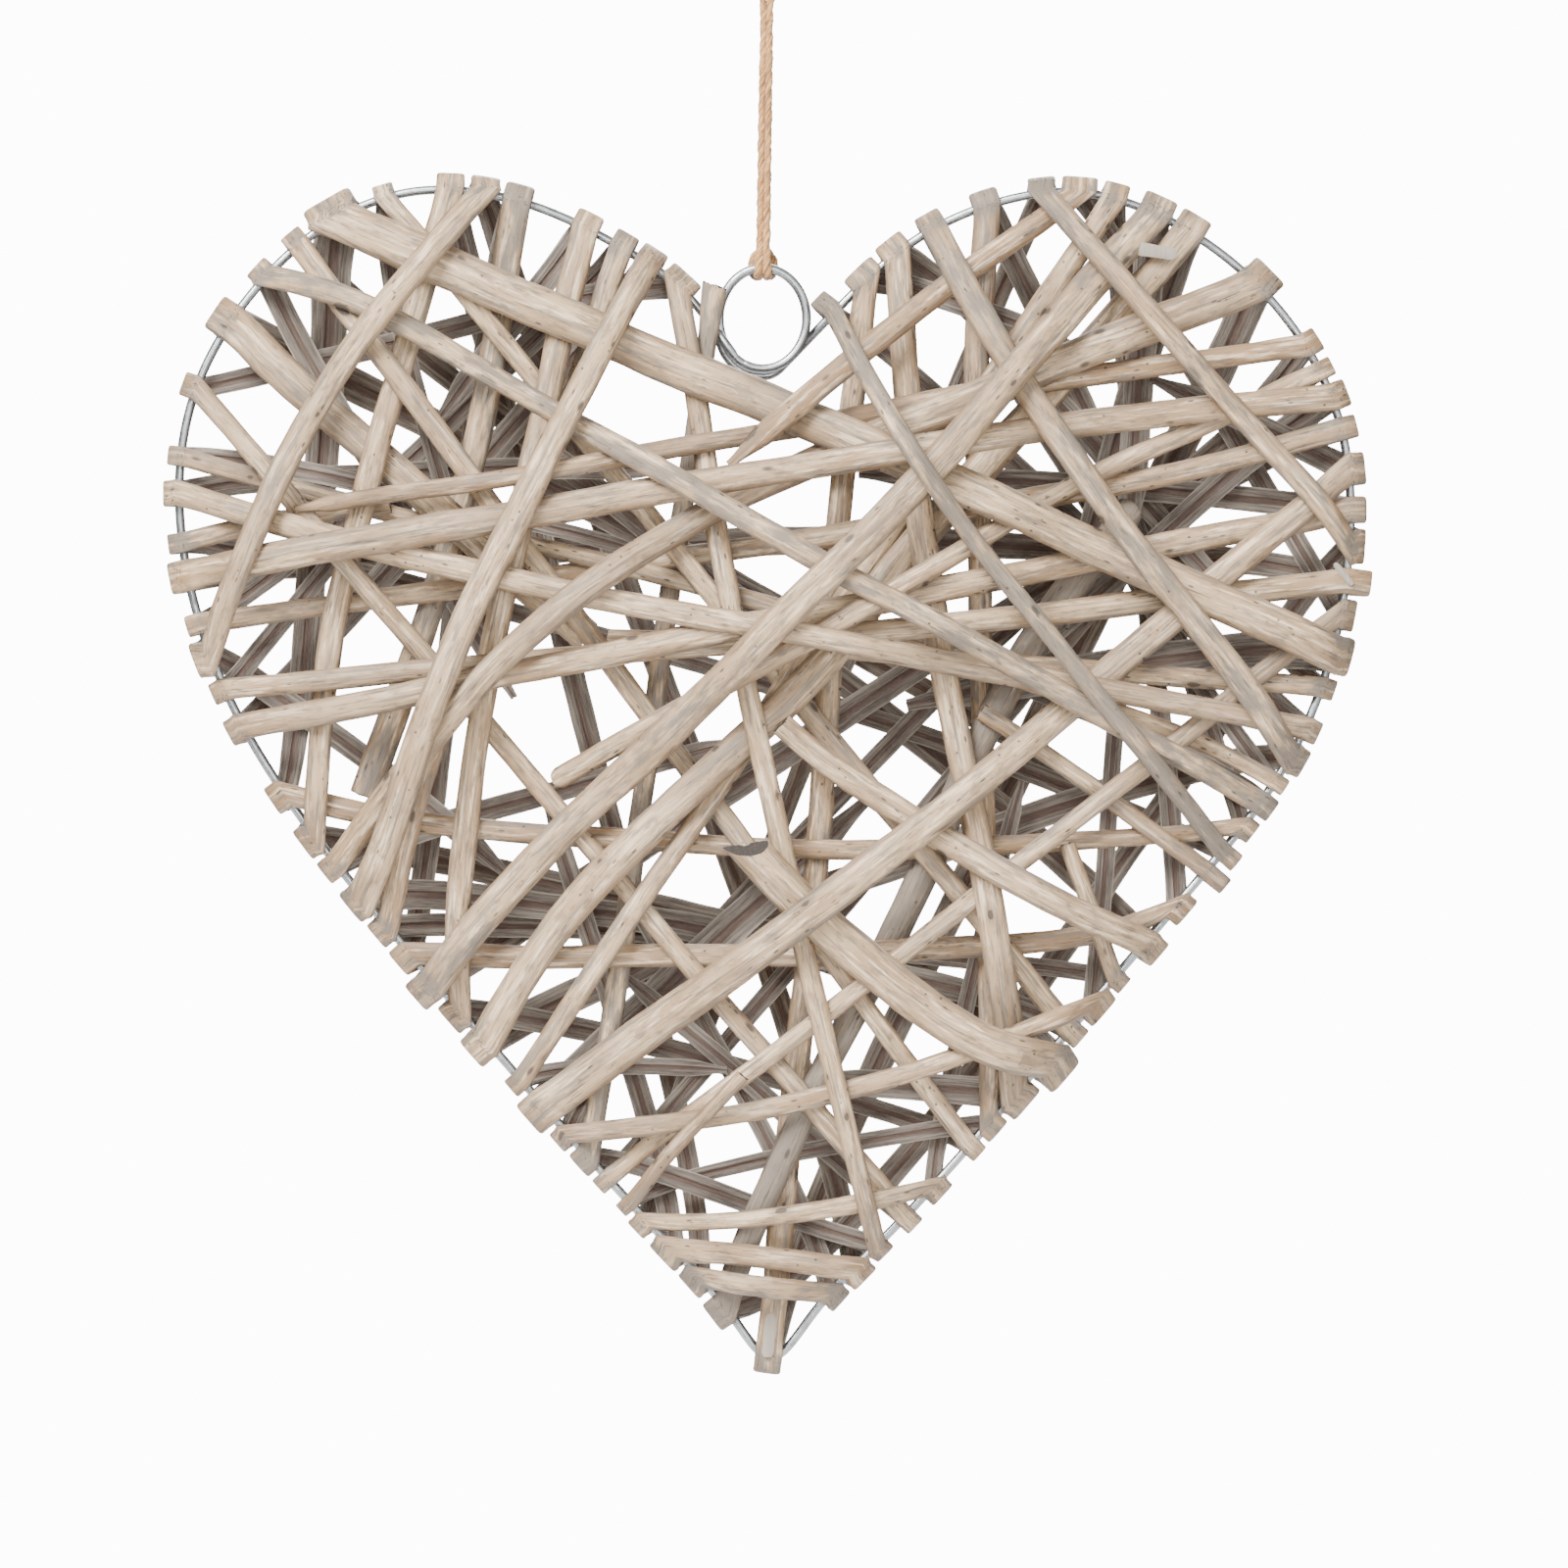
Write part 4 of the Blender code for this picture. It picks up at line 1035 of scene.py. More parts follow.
    def top_samples(self) -> np.ndarray:
        """Samples the upper surface.

        Returns:
            Points all over it: across, up, and height over the middle plane.
        """
        if self.samples is not None:
            return self.samples
        steep = self.steepness()
        top = RULES.top_share
        rows = []
        for k in range(len(self.points) - 1):
            gap = self.distances[k + 1] - self.distances[k]
            steps = max(2, math.ceil(gap / RULES.sample_step))
            for share in np.linspace(0, 1, steps, endpoint=k == len(self.points) - 2):
                centre = self.points[k] * (1 - share) + self.points[k + 1] * share
                across = self.across[k] * (1 - share) + self.across[k + 1] * share
                low = self.heights[k] * (1 - share) + self.heights[k + 1] * share
                thick = self.thicknesses[k] * steep[k] * (1 - share)
                thick += self.thicknesses[k + 1] * steep[k + 1] * share
                cross = self.side * top * (1 - 2 * share)
                for out, lift in ((-1, 0), (-top, 1), (cross, 1), (top, 1), (1, 0)):
                    rows.append((*(centre + out * across), low + lift * thick))
                for out in (-(1 + top) / 2, (1 + top) / 2):
                    rows.append((*(centre + out * across), low + thick / 2))
                if share in (0, 1):
                    for out in np.linspace(-top, top, RULES.cap_samples):
                        rows.append((*(centre + out * across), low + thick))
        self.samples = np.array(rows)
        return self.samples

    def steepness(self) -> np.ndarray:
        """How much taller than thick the sloping rod stands.

        Returns:
            The ratio at each section.
        """
        slope = np.diff(self.heights) / np.diff(self.distances)
        mean = np.concatenate([[slope[0]], (slope[:-1] + slope[1:]) / 2, [slope[-1]]])
        for index, end in self.folds():
            mean[index] = math.tan(end.slope[self.side])
        return np.sqrt(1 + mean**2)


@dataclass
class Winding:
    """All the rods' runs: planned across the front, joined over the back, and laid."""

    wire: WireHeart
    plans: tuple[RunPlan, ...] = FRONT_RUNS

    def rods(self) -> list[list[tuple[RodRun, RodEnd]]]:
        """Lays every run.

        Returns:
            Each rod as its runs in order, each with the end that it is entered by. A rod that is
            cut on the back starts or ends with a short run to its tip.
        """
        fronts = []
        folds = []
        for plan in self.plans:
            two = self.front_ends(plan)
            run = RodRun(Side.FRONT, two, tone=(plan.tan, plan.grey))
            for end in two:
                end.run = run
            folds += [end for end in two if end.folds]
            fronts.append(run)
        self.pair(folds)
        self.spread(folds)
        for run, plan in zip(fronts, self.plans):
            run.curve = self.front_curve(plan, run.ends)
        backs = [
            RodRun(Side.BACK, [end, end.partner], self.back_curve(end, end.partner))
            for end in folds
            if end.partner is not None and end.station < end.partner.station
        ]
        chains = self.follow(fronts, backs)
        carried = {id(run) for chain in chains for run, _ in chain}
        laid_backs = []
        tails = {}
        for back in backs:
            if id(back) in carried:
                laid_backs.append(back)
                continue
            for half in self.cut_back(back):
                tails[id(half.ends[0])] = half
                laid_backs.append(half)
        laid_backs.sort(key=lambda run: run.length)
        for side, runs in ((Side.FRONT, fronts), (Side.BACK, laid_backs)):
            wire_samples = self.wire.top_samples(side)
            for number, run in enumerate(runs):
                run.place_sections(self.wire)
                run.lay(runs[:number], wire_samples, self.wire)
        return [self.with_tails(chain, tails) for chain in chains]

    def front_ends(self, plan: RunPlan) -> list[RodEnd]:
        """The two ends of a run across the front.

        Args:
            plan: The run.

        Returns:
            Its start and its end.
        """
        spots = [DRAWING.place(point) for point in plan.points]
        ends = []
        for kind, width, near, inner in (
            (plan.start, plan.widths[0], spots[0], spots[1]),
            (plan.end, plan.widths[1], spots[-1], spots[-2]),
        ):
            end = RodEnd(kind, width * DRAWING.rod_scale)
            if end.folds:
                end.station = self.wire.station(near)
                end.leaving = unit(near - inner)
            ends.append(end)
        return ends

    def spread(self, ends: list[RodEnd]) -> None:
        """Shifts the folds along the wire until none is on another.

        Args:
            ends: The folds, which are also sorted.
        """
        ends.sort(key=lambda end: end.station)
        station = np.array([end.station for end in ends])
        half = np.array([end.half_length(self.wire) for end in ends])
        room = half[:-1] + half[1:] + GAPS.rim
        for _ in range(RULES.spreading_rounds):
            short = room - np.diff(station)
            if short.max() < RULES.hair:
                break
            push = np.maximum(short, 0) / 2
            station[:-1] -= push
            station[1:] += push
            station = np.clip(station, half[0], self.wire.length - half[-1])
        for end, at, flat in zip(ends, station, half):
            end.station = float(at)
            end.fold_half = flat
            end.slope = {Side.FRONT: 0.0, Side.BACK: 0.0}
            stand_off = self.wire.bulge(end.station, flat) / math.cos(RULES.fold_facet / 2)
            end.radius = dict.fromkeys(Side, self.wire.fold_radius + stand_off)

    def stays_inside(self, start: np.ndarray, end: np.ndarray) -> bool:
        """Whether a straight run passes below the cleft.

        Args:
            start: Its place on the rim.
            end: The other one.

        Returns:
            Whether it does, or stays in one lobe.
        """
        middle = DRAWING.place((DRAWING.centre_square, RULES.cleft_floor))
        if (start[0] - middle[0]) * (end[0] - middle[0]) >= 0:
            return True
        share = (middle[0] - start[0]) / (end[0] - start[0])
        return start[1] + share * (end[1] - start[1]) < middle[1]

    def back_cost(self, a: RodEnd, b: RodEnd) -> float:
        """How badly the back run between two folds would suit the way the rod comes to them.

        Args:
            a: The one fold.
            b: The other one.

        Returns:
            Its cost, very high for a run that can't be.
        """
        start, end = self.wire.point(a.station), self.wire.point(b.station)
        away = end - start
        length = np.linalg.norm(away)
        short = length < DRAWING.heart_width / 5
        if a.run is b.run or short or not self.stays_inside(start, end):
            return RULES.unfit_cost + DRAWING.heart_width / max(length, self.wire.diameter)
        cost = 0.0
        for fold, line in ((a, away), (b, -away)):
            outward = self.wire.outward(fold.station)
            mirrored = fold.leaving - 2 * np.dot(fold.leaving, outward) * outward
            cost += 1 - np.dot(mirrored, line) / length
            shallow = abs(np.dot(outward, line)) / length
            cost += max(0.0, RULES.shallowest_sine - shallow) * RULES.shallow_cost
        return cost

    def pair(self, ends: list[RodEnd]) -> None:
        """Joins the folds in twos by the back runs that best carry on from the front ones.

        Args:
            ends: The folds, which are given their partners.
        """
        cost = np.array([[self.back_cost(a, b) for b in ends] for a in ends])
        cost = (cost + cost.T) / 2
        pairs = []
        free = set(range(len(ends)))
        for flat in np.argsort(cost, axis=None, kind="stable"):
            i, j = divmod(int(flat), len(ends))
            if i in free and j in free and i != j:
                free -= {i, j}
                pairs.append([i, j])
        better = True
        while better:
            better = False
            for p in range(len(pairs)):
                for q in range(p):
                    (a, b), (c, d) = pairs[p], pairs[q]
                    now = cost[a, b] + cost[c, d]
                    for one, two in (((a, c), (b, d)), ((a, d), (b, c))):
                        if cost[one] + cost[two] < now - RULES.hair:
                            pairs[p], pairs[q] = list(one), list(two)
                            better = True
                            break
        for i, j in pairs:
            ends[i].partner = ends[j]
            ends[j].partner = ends[i]

    def front_curve(self, plan: RunPlan, ends: list[RodEnd]) -> np.ndarray:
        """The centre of a front run, from rim or tip to rim or tip.

        Args:
            plan: The run.
            ends: Its two ends.

        Returns:
            Its points.
        """
        spots = [DRAWING.place(point) for point in plan.points]
        for index, end in ((0, ends[0]), (-1, ends[1])):
            if end.folds:
                spots[index] = self.wire.point(end.station)
        return smooth_curve(spots, RULES.run_points)

    def back_curve(self, start: RodEnd, end: RodEnd) -> np.ndarray:
        """The centre of a back run, leaving each fold nearly as the front runs come to it.

        Args:
            start: The fold that it starts from.
            end: The fold that it leads to.

        Returns:
            Its points.
        """
        first, last = self.wire.point(start.station), self.wire.point(end.station)
        reach = np.linalg.norm(last - first) * RULES.back_pull
        pulls = []
        for fold in (start, end):
            outward = self.wire.outward(fold.station)
            pulls.append((fold.leaving - 2 * np.dot(fold.leaving, outward) * outward) * reach)
        share = np.linspace(0, 1, RULES.run_points)[:, None]
        curve = (
            first * (2 * share**3 - 3 * share**2 + 1)
            + pulls[0] * (share**3 - 2 * share**2 + share)
            + last * (3 * share**2 - 2 * share**3)
            - pulls[1] * (share**3 - share**2)
        )
        return evenly(curve, RULES.run_points)

    def follow(
        self, fronts: list[RodRun], backs: list[RodRun]
    ) -> list[list[tuple[RodRun, RodEnd]]]:
        """Follows the rods from run to run, ending one on the back where it would grow too long.

        Args:
            fronts: The runs across the front.
            backs: The runs that join them on the back.

        Returns:
            Each rod as its runs in order, each with the end that it is entered by.
        """
        back_of = {id(end): back for back in backs for end in back.ends}
        unused = list(fronts)
        rods = []
        tipped = [run for run in fronts if not (run.ends[0].folds and run.ends[1].folds)]
        for seed in tipped + fronts:
            if seed not in unused:
                continue
            run = seed
            entry = run.ends[0] if run.ends[1].folds else run.ends[1]
            rod = []
            length = 0.0
            while run is not None:
                unused.remove(run)
                rod.append((run, entry))
                leave = run.other(entry)
                back = back_of.get(id(leave))
                run = None
                if back is not None:
                    entry = back.other(leave)
                    length += rod[-1][0].length + back.length
                    if length < RULES.longest_rod * DRAWING.heart_width and entry.run in unused:
                        rod.append((back, leave))
                        run = entry.run
            rods.append(rod)
        return rods

    def cut_back(self, back: RodRun) -> list[RodRun]:
        """The two short runs to a tip that stand for a back run where two rods end.

        Args:
            back: The back run.

        Returns:
            The short run from each of its folds.
        """
        halves = []
        for fold, curve in ((back.ends[0], back.curve), (back.ends[1], back.curve[::-1])):
            reach = np.linspace(0, back.length * RULES.tip_share, RULES.run_points)
            tip = RodEnd(EndKind.TAPERED, fold.width * RULES.tip_narrowing)
            halves.append(RodRun(Side.BACK, [fold, tip], points_at(curve, reach)))
        return halves

    def with_tails(
        self, chain: list[tuple[RodRun, RodEnd]], tails: dict[int, RodRun]
    ) -> list[tuple[RodRun, RodEnd]]:
        """Adds the short runs to the tips that a rod has on the back.

        Args:
            chain: The rod's runs.
            tails: The short runs, by the fold that each one leaves.

        Returns:
            The rod's runs from tip to tip.
        """
        first_run, first_entry = chain[0]
        last_run, last_entry = chain[-1]
        whole = list(chain)
        if first_entry.folds:
            tail = tails[id(first_entry)]
            whole.insert(0, (tail, tail.ends[1]))
        leave = last_run.other(last_entry)
        if leave.folds:
            tail = tails[id(leave)]
            whole.append((tail, leave))
        return whole


@dataclass
class RodProfile:
    """A split rod's cross-section: round bark outside, flat split face with its pith inside."""

    # Places across the bark, from edge to edge
    bark: tuple[float, ...] = (
        -1, -0.94, -0.82, -0.62, -0.38, -0.13, 0.13, 0.38, 0.62, 0.82, 0.94, 1,
    )
    # Places across the split face, on the way back, each with its height
    split: tuple[tuple[float, float], ...] = (
        (0.80, 0.01), (0.46, 0.05), (0.24, 0.07), (0.11, 0.26),
        (-0.11, 0.26), (-0.24, 0.07), (-0.46, 0.05), (-0.80, 0.01),
    )
    # The power of the bark's curve, 2 for a half circle and more for a flatter one
    roundness: float = 2.1
    edge_height: float = 0.10  # How high the bark starts at the rod's edges
    fold_roundness: float = 9.0  # The power of the curve where the rod is flattened over the wire
    fold_edge_height: float = 0.72  # How high the bark starts there
    flattening: float = 1.3  # How much sooner than its bend the rod is flattened

    @property
    def across(self) -> np.ndarray:
        """How far across each corner stands, from -1 to 1."""
        return np.array([*self.bark, *(place for place, _ in self.split)])

    def arch(self, roundness: float, edge: float) -> np.ndarray:
        """The corners' heights, from 0, the split face, to 1, the top of the bark.

        Args:
            roundness: The power of the bark's curve.
            edge: How high it starts at the edges.

        Returns:
            One height for each corner.
        """
        place = np.abs(np.array(self.bark, float))
        bark = edge + (1 - edge) * np.sqrt(np.clip(1 - place**roundness, 0, 1))
        return np.array([*bark, *(height for _, height in self.split)])

    def heights(self, bend: np.ndarray) -> np.ndarray:
        """How high the corners of some sections stand.

        Args:
            bend: How bent each section is, from 0 to 1.

        Returns:
            One row of heights for each section.
        """
        free = self.arch(self.roundness, self.edge_height)
        flat = self.arch(self.fold_roundness, self.fold_edge_height)
        return free + np.clip(self.flattening * bend, 0, 1)[:, None] * (flat - free)


@dataclass
class WillowRod:
    """One split rod from tip to tip, round the wire as often as it goes."""

    number: int
    chain: list[tuple[RodRun, RodEnd]]  # Its runs in order, each with the end that it is entered by
    wire: WireHeart
    profile: RodProfile = field(default_factory=RodProfile)
    spacing: float = 0.0026  # The distance between its cross-sections
    # Closer cross-sections near a free tip, from its cut
    tip_steps: tuple[float, ...] = (0.0003, 0.0007, 0.0013, 0.0021)
    unevenness: float = 0.05  # How much its width and thickness vary
    drift: float = 0.0006  # How far its middle strays sideways
    tilt: float = math.radians(7)  # How far it turns about its own length
    # How near a fold none of these starts, and the length in which they grow
    still: tuple[float, float] = (0.002, 0.018)
    bend_reach: float = 0.0045  # How near a fold the rod is bent
    knot_gap: float = 0.085  # The usual distance between two knots
    knot_reach: float = 0.0035  # Half the length of a knot's swelling
    knot_swell: float = 0.10  # How much a knot adds to the rod's thickness
    slant: float = 0.0054  # The length of a slanting cut
    level_cut: float = 0.72  # How nearly level the slanting cut is, from 0, square to the rod, to 1
    tear: float = 0.0030  # The length of a torn end
    flare: float = 0.32  # How much wider the rod is at a torn end, where it was wrenched off
    flare_reach: float = 0.026  # The length in which it grows so wide
    crease: float = 0.72  # How bent the bark looks between a fold's creases
    round_share: float = 0.05  # How much of a fold's facets its creases take up
    ridge: float = 0.05  # How high the ridges along the bark are, as a share of its thickness
    edge_wave: float = 0.06  # How much its edges stray inwards, as a share of half its width
    shrinkage: float = 0.93  # The share of its solid's thickness that the dry rod has
    mark_reach: float = 0.003  # How near a rod lies to a mark that is on it

    @property
    def node(self) -> str:
        """The solid that the rod stands for."""
        return f"willow_rod_{self.number:02d}"

    def sections(self) -> Sections:
        """Follows the rod from tip to tip.

        Returns:
            Its cross-sections.
        """
        parts = []
        for index, (run, entry) in enumerate(self.chain):
            reverse = entry is run.ends[1]
            parts.append(self.run_sections(run, reverse, 10 * self.number + index))
            leave = run.other(entry)
            if leave.folds:
                parts.append(self.fold_sections(leave, run.side, run.tone))
        return Sections.joined(parts)

    def run_sections(self, run: RodRun, reverse: bool, seed: float) -> Sections:
        """The cross-sections of one run.

        Args:
            run: The run.
            reverse: Whether the rod follows it from its second end to its first.
            seed: A number that picks its unevenness.

        Returns:
            The sections, in the rod's order.
        """
        at = self.stations(run)
        before, after = (points_at(run.curve, at + way * self.spacing) for way in (-1, 1))
        step = units(after - before)
        height = easy_line(run.distances, run.heights, at)
        fade, bend = np.ones(len(at)), np.zeros(len(at))
        for index, _end in run.folds():
            away = at if index == 0 else run.length - at
            fade = fade * smooth_share((away - self.still[0]) / self.still[1])
            bend = np.maximum(bend, np.exp(-((away / self.bend_reach) ** 2)))
        narrow, thin = self.tips(run, at)
        width = run.width_at(at) * (1 + self.unevenness * wander(at, 0.045, seed + 0.3) * fade)
        thick = run.width_at(at) * self.shrinkage * RULES.rod_thickness / DRAWING.rod_width
        thick = thick * (1 + self.unevenness * wander(at, 0.03, seed + 0.7) * fade)
        thick = thick * (1 + self.knots(at, seed) * fade) * thin
        sideways = np.stack([step[:, 1], -step[:, 0]], axis=1)
        half = sideways * (width * narrow / 2)[:, None]
        for index, _end in run.folds():
            away = at if index == 0 else run.length - at
            near = run.distances[1] if index == 0 else run.length - run.distances[-2]
            share = np.clip(1 - away / near, 0, 1)[:, None]
            half = half * (1 - share) + run.across[index] * share
        spot = points_at(run.curve, at)
        spot = spot + sideways * (self.drift * wander(at, 0.07, seed + 0.1) * fade)[:, None]
        side = float(run.side)
        ahead = units(in_space(step, side * np.gradient(height, at)))
        across = in_space(half, 0.0) * (-side if reverse else side)
        out = in_space(0 * half, side)
        lift = units(out - ahead * (out * ahead).sum(axis=1)[:, None]) * thick[:, None]
        turn = (self.tilt * wander(at, 0.06, seed + 0.9) * fade)[:, None]
        reach = np.linalg.norm(across, axis=1)[:, None]
        rise = np.linalg.norm(lift, axis=1)[:, None]
        tilted = across * np.cos(turn) + lift / rise * reach * np.sin(turn)
        lift = lift * np.cos(turn) - across / reach * rise * np.sin(turn)
        centre = in_space(spot, side * height) + lift / rise * np.abs(reach * np.sin(turn)) * 0.5
        tone = np.column_stack([np.tile(run.tone, (len(at), 1)), bend])
        found = Sections(centre, tilted, lift, tone)
        return found.picked(np.arange(len(at))[::-1]) if reverse else found

    def stations(self, run: RodRun) -> np.ndarray:
        """The distances along a run at which its cross-sections stand.

        Args:
            run: The run.

        Returns:
            The distances, rising.
        """
        limits, extra = [0.0, run.length], []
        for index, end in enumerate(run.ends):
            inward, limit = 1 - 2 * index, limits[index]
            if end.folds:
                reach = end.radius[run.side] * math.tan(end.slope[run.side])
                limits[index] += inward * max(0.0, 0.0012 - reach)
                continue
            scoop = self.slant + self.level_cut * end.width
            near = {EndKind.SCOOPED: scoop, EndKind.TORN: self.tear}.get(end.kind, 0.0)
            extra += [limit, *(limit + inward * (near + np.array(self.tip_steps)))]
            limits[index] = limit + inward * near + inward * 0.003
        count = max(3, round((limits[1] - limits[0]) / self.spacing))
        found = np.unique(np.concatenate([np.linspace(*limits, count), extra]))
        return found[np.concatenate([[True], np.diff(found) > 1e-5])]

    def tips(self, run: RodRun, at: np.ndarray) -> tuple[np.ndarray, np.ndarray]:
        """How much narrower and thinner the rod is near its free tips.

        Args:
            run: The run.
            at: Distances along it.

        Returns:
            The share of the width and the share of the thickness that is left.
        """
        narrow = thin = np.ones(len(at))
        for index, end in enumerate(run.ends):
            away = at if index == 0 else run.length - at
            if end.kind is EndKind.ROUNDED:
                inside = np.clip(away / (0.5 * end.width), 0, 1)
                share, least, thinnest = np.sqrt(1 - (1 - inside) ** 2), 0.3, 0.5
            elif end.kind is EndKind.TAPERED:
                share, least, thinnest = smooth_share(away / (2.4 * end.width)), 0.38, 0.45
            elif end.kind is EndKind.TORN:
                share, least, thinnest = smooth_share(away / self.flare_reach), 1 + self.flare, 1
            elif end.kind is EndKind.SQUARE:
                share, least, thinnest = np.clip(away / 0.0005, 0, 1), 0.92, 0.85
            else:
                continue
            narrow = narrow * (least + (1 - least) * share)
            thin = thin * (thinnest + (1 - thinnest) * share)
        return narrow, thin

    def knots(self, at: np.ndarray, seed: float) -> np.ndarray:
        """How much the rod swells at its knots.

        Args:
            at: Distances along a run.
            seed: A number that picks where the knots are.

        Returns:
            The share that each section is thicker.
        """
        swell = np.zeros(len(at))
        place = self.knot_gap * (0.3 + 0.5 * abs(math.sin(7.3 * seed)))
        while place < at[-1]:
            swell += self.knot_swell * np.exp(-(((at - place) / self.knot_reach) ** 2))
            place += self.knot_gap * (0.7 + 0.6 * abs(math.sin(11.1 * place * 40 + seed)))
        return swell

    def fold_sections(self, end: RodEnd, side: Side, tone: tuple[float, float]) -> Sections:
        """The cross-sections round the wire, creased where the flattened rod breaks over it.

        Args:
            end: The fold.
            side: The side of the heart that the rod comes from.
            tone: How tan and how grey the bark is.

        Returns:
            The sections, from that side to the other.
        """
        first, last = end.slope[side], math.pi - end.slope[Side(-side)]
        steps = max(1, math.ceil((last - first) / RULES.fold_facet))
        share = np.linspace(0, 1, steps + 1)
        angle = first * (1 - share) + last * share
        inner = end.radius[side] * (1 - share) + end.radius[Side(-side)] * share
        outward = self.wire.outward(end.station)
        out = in_space(outward * np.sin(angle)[:, None], side * np.cos(angle))
        centre = in_space(self.wire.point(end.station), self.wire.depth(end.station))
        corner = out * inner[:, None] + centre
        ease = self.round_share
        spots = []
        for k in range(steps + 1):
            spots += [k] if k in (0, steps) else [k - ease, k, k + ease]
            spots += [k + 0.32, k + 0.68] if k < steps else []
        low = np.minimum(np.array(spots, int), steps - 1)
        part = (spots - low)[:, None]
        place = corner[low] * (1 - part) + corner[low + 1] * part
        for k in range(1, steps):
            around = (corner[k - 1] + corner[k + 1]) / 2
            place[spots.index(k)] = corner[k] * (1 - 0.5 * ease) + around * 0.5 * ease
        thickness = end.width * self.shrinkage * RULES.rod_thickness / DRAWING.rod_width
        lift = units(out[low] * (1 - part) + out[low + 1] * part) * thickness
        flat = -self.wire.tangent(end.station) * end.fold_half * side
        tones = [(*tone, 1.0 if spot == int(spot) else self.crease) for spot in spots]
        half = np.tile(in_space(flat, 0.0), (len(spots), 1))
        return Sections(place, half, lift, np.array(tones))

    def corners(self, sections: Sections) -> np.ndarray:
        """Where every corner of every section stands, with the free tips cut or torn.

        Args:
            sections: The cross-sections.

        Returns:
            One row of corners for each section.
        """
        bend = sections.tone[:, BEND]
        across, heights = self.profile.across, self.profile.heights(bend)
        along, straight = sections.along, 1 - np.clip(bend, 0, 1)[:, None]
        edges = (1 - ripple(along, 0.019, np.sign(across) + self.number)) / 2 * straight
        ridges = 1 - ripple(along, 0.014, np.arange(len(across)) * 1.9 + self.number)
        inner = (1 - np.abs(across) ** 6) * (heights > 0.3)
        places = across * (1 - self.edge_wave * edges)
        heights = heights - self.ridge * ridges / 2 * straight * inner
        rows = (
            sections.centre[:, None]
            + sections.half[:, None] * places[..., None]
            + sections.lift[:, None] * heights[..., None]
        )
        first_entry, (last_run, last_entry) = self.chain[0][1], self.chain[-1]
        last_kind = last_run.other(last_entry).kind
        for kind, tip, inner in ((first_entry.kind, 0, 1), (last_kind, -1, -2)):
            back = unit(sections.centre[inner] - sections.centre[tip])
            if kind is EndKind.SCOOPED:
                over = rows[tip][:, 2] - rows[tip][:, 2].min()
                over = over - 0.60 * over.max()
                cut = self.level_cut * over / max(0.3, -back[2])
                cut = cut + self.slant * np.clip(heights[tip], 0, 1) ** 1.4
            elif kind is EndKind.TORN:
                rough = 0.5 + 0.5 * np.sin(np.arange(len(across)) * 2.4 + self.number)
                cut = self.tear * (0.35 * rough + 0.3 + 0.3 * across)
            else:
                rough = 0.5 + 0.5 * np.sin(np.arange(len(across)) * 1.3 + self.number)
                cut = (0.0 if kind is EndKind.ROUNDED else 0.0003) * rough
            rows[tip] += back * cut[:, None]
        return rows

    def marks(self, rows: np.ndarray, sections: Sections) -> np.ndarray:
        """How far each corner is from the nearest drawn mark.

        Args:
            rows: Where the corners are.
            sections: The cross-sections that they belong to.

        Returns:
            For each corner, the way across and along in the mark's sizes and 0, or 9 far away.
        """
        found = np.full(rows.shape, FAR)
        bark = rows[:, : len(self.profile.bark)]
        across = self.profile.across * np.linalg.norm(sections.half, axis=1)[:, None]
        for square, radius in MARKS:
            size = radius * DRAWING.square
            away = np.linalg.norm(bark[..., [0, 2]] - DRAWING.place(square), axis=2)
            away = away + (bark[..., 1] > 0)
            row, column = np.unravel_index(away.argmin(), away.shape)
            if away[row, column] < self.mark_reach:
                along = (sections.along - sections.along[row]) / (2.0 * size)
                near = np.abs(along) < 5
                wide = (across - across[row, column])[near] / size
                ahead = np.broadcast_to(along[near][:, None], wide.shape)
                found[near] = np.stack([wide, ahead, np.zeros(wide.shape)], axis=2)
        return found

    def chips(self, rows: np.ndarray) -> list[np.ndarray]:
        """The pale chips that are torn up from the bark.

        Args:
            rows: Where the rod's corners are.

        Returns:
            For each chip, the corners of its sections.
        """
        bark = rows[:, : len(self.profile.bark)].reshape(-1, 3)
        found = []
        for _, square, reach, width in (chip for chip in CHIPS if chip[0] == self.number):
            middle = DRAWING.place(square)
            ahead = DRAWING.place((square[0] + reach[0], square[1] + reach[1])) - middle
            over = unit(np.array((-ahead[1], ahead[0]))) * width * DRAWING.square / 2
            under = np.linalg.norm(bark[:, [0, 2]] - middle, axis=1) < self.mark_reach
            front = bark[under, 1].min()
            chip = []
            for share, size in CHIP_SIZES:
                spots = [(middle + ahead * share + over * size * x, y) for x, y in CHIP_EDGE]
                chip.append([in_space(spot, front + y) for spot, y in spots])
            found.append(np.array(chip))
        return found

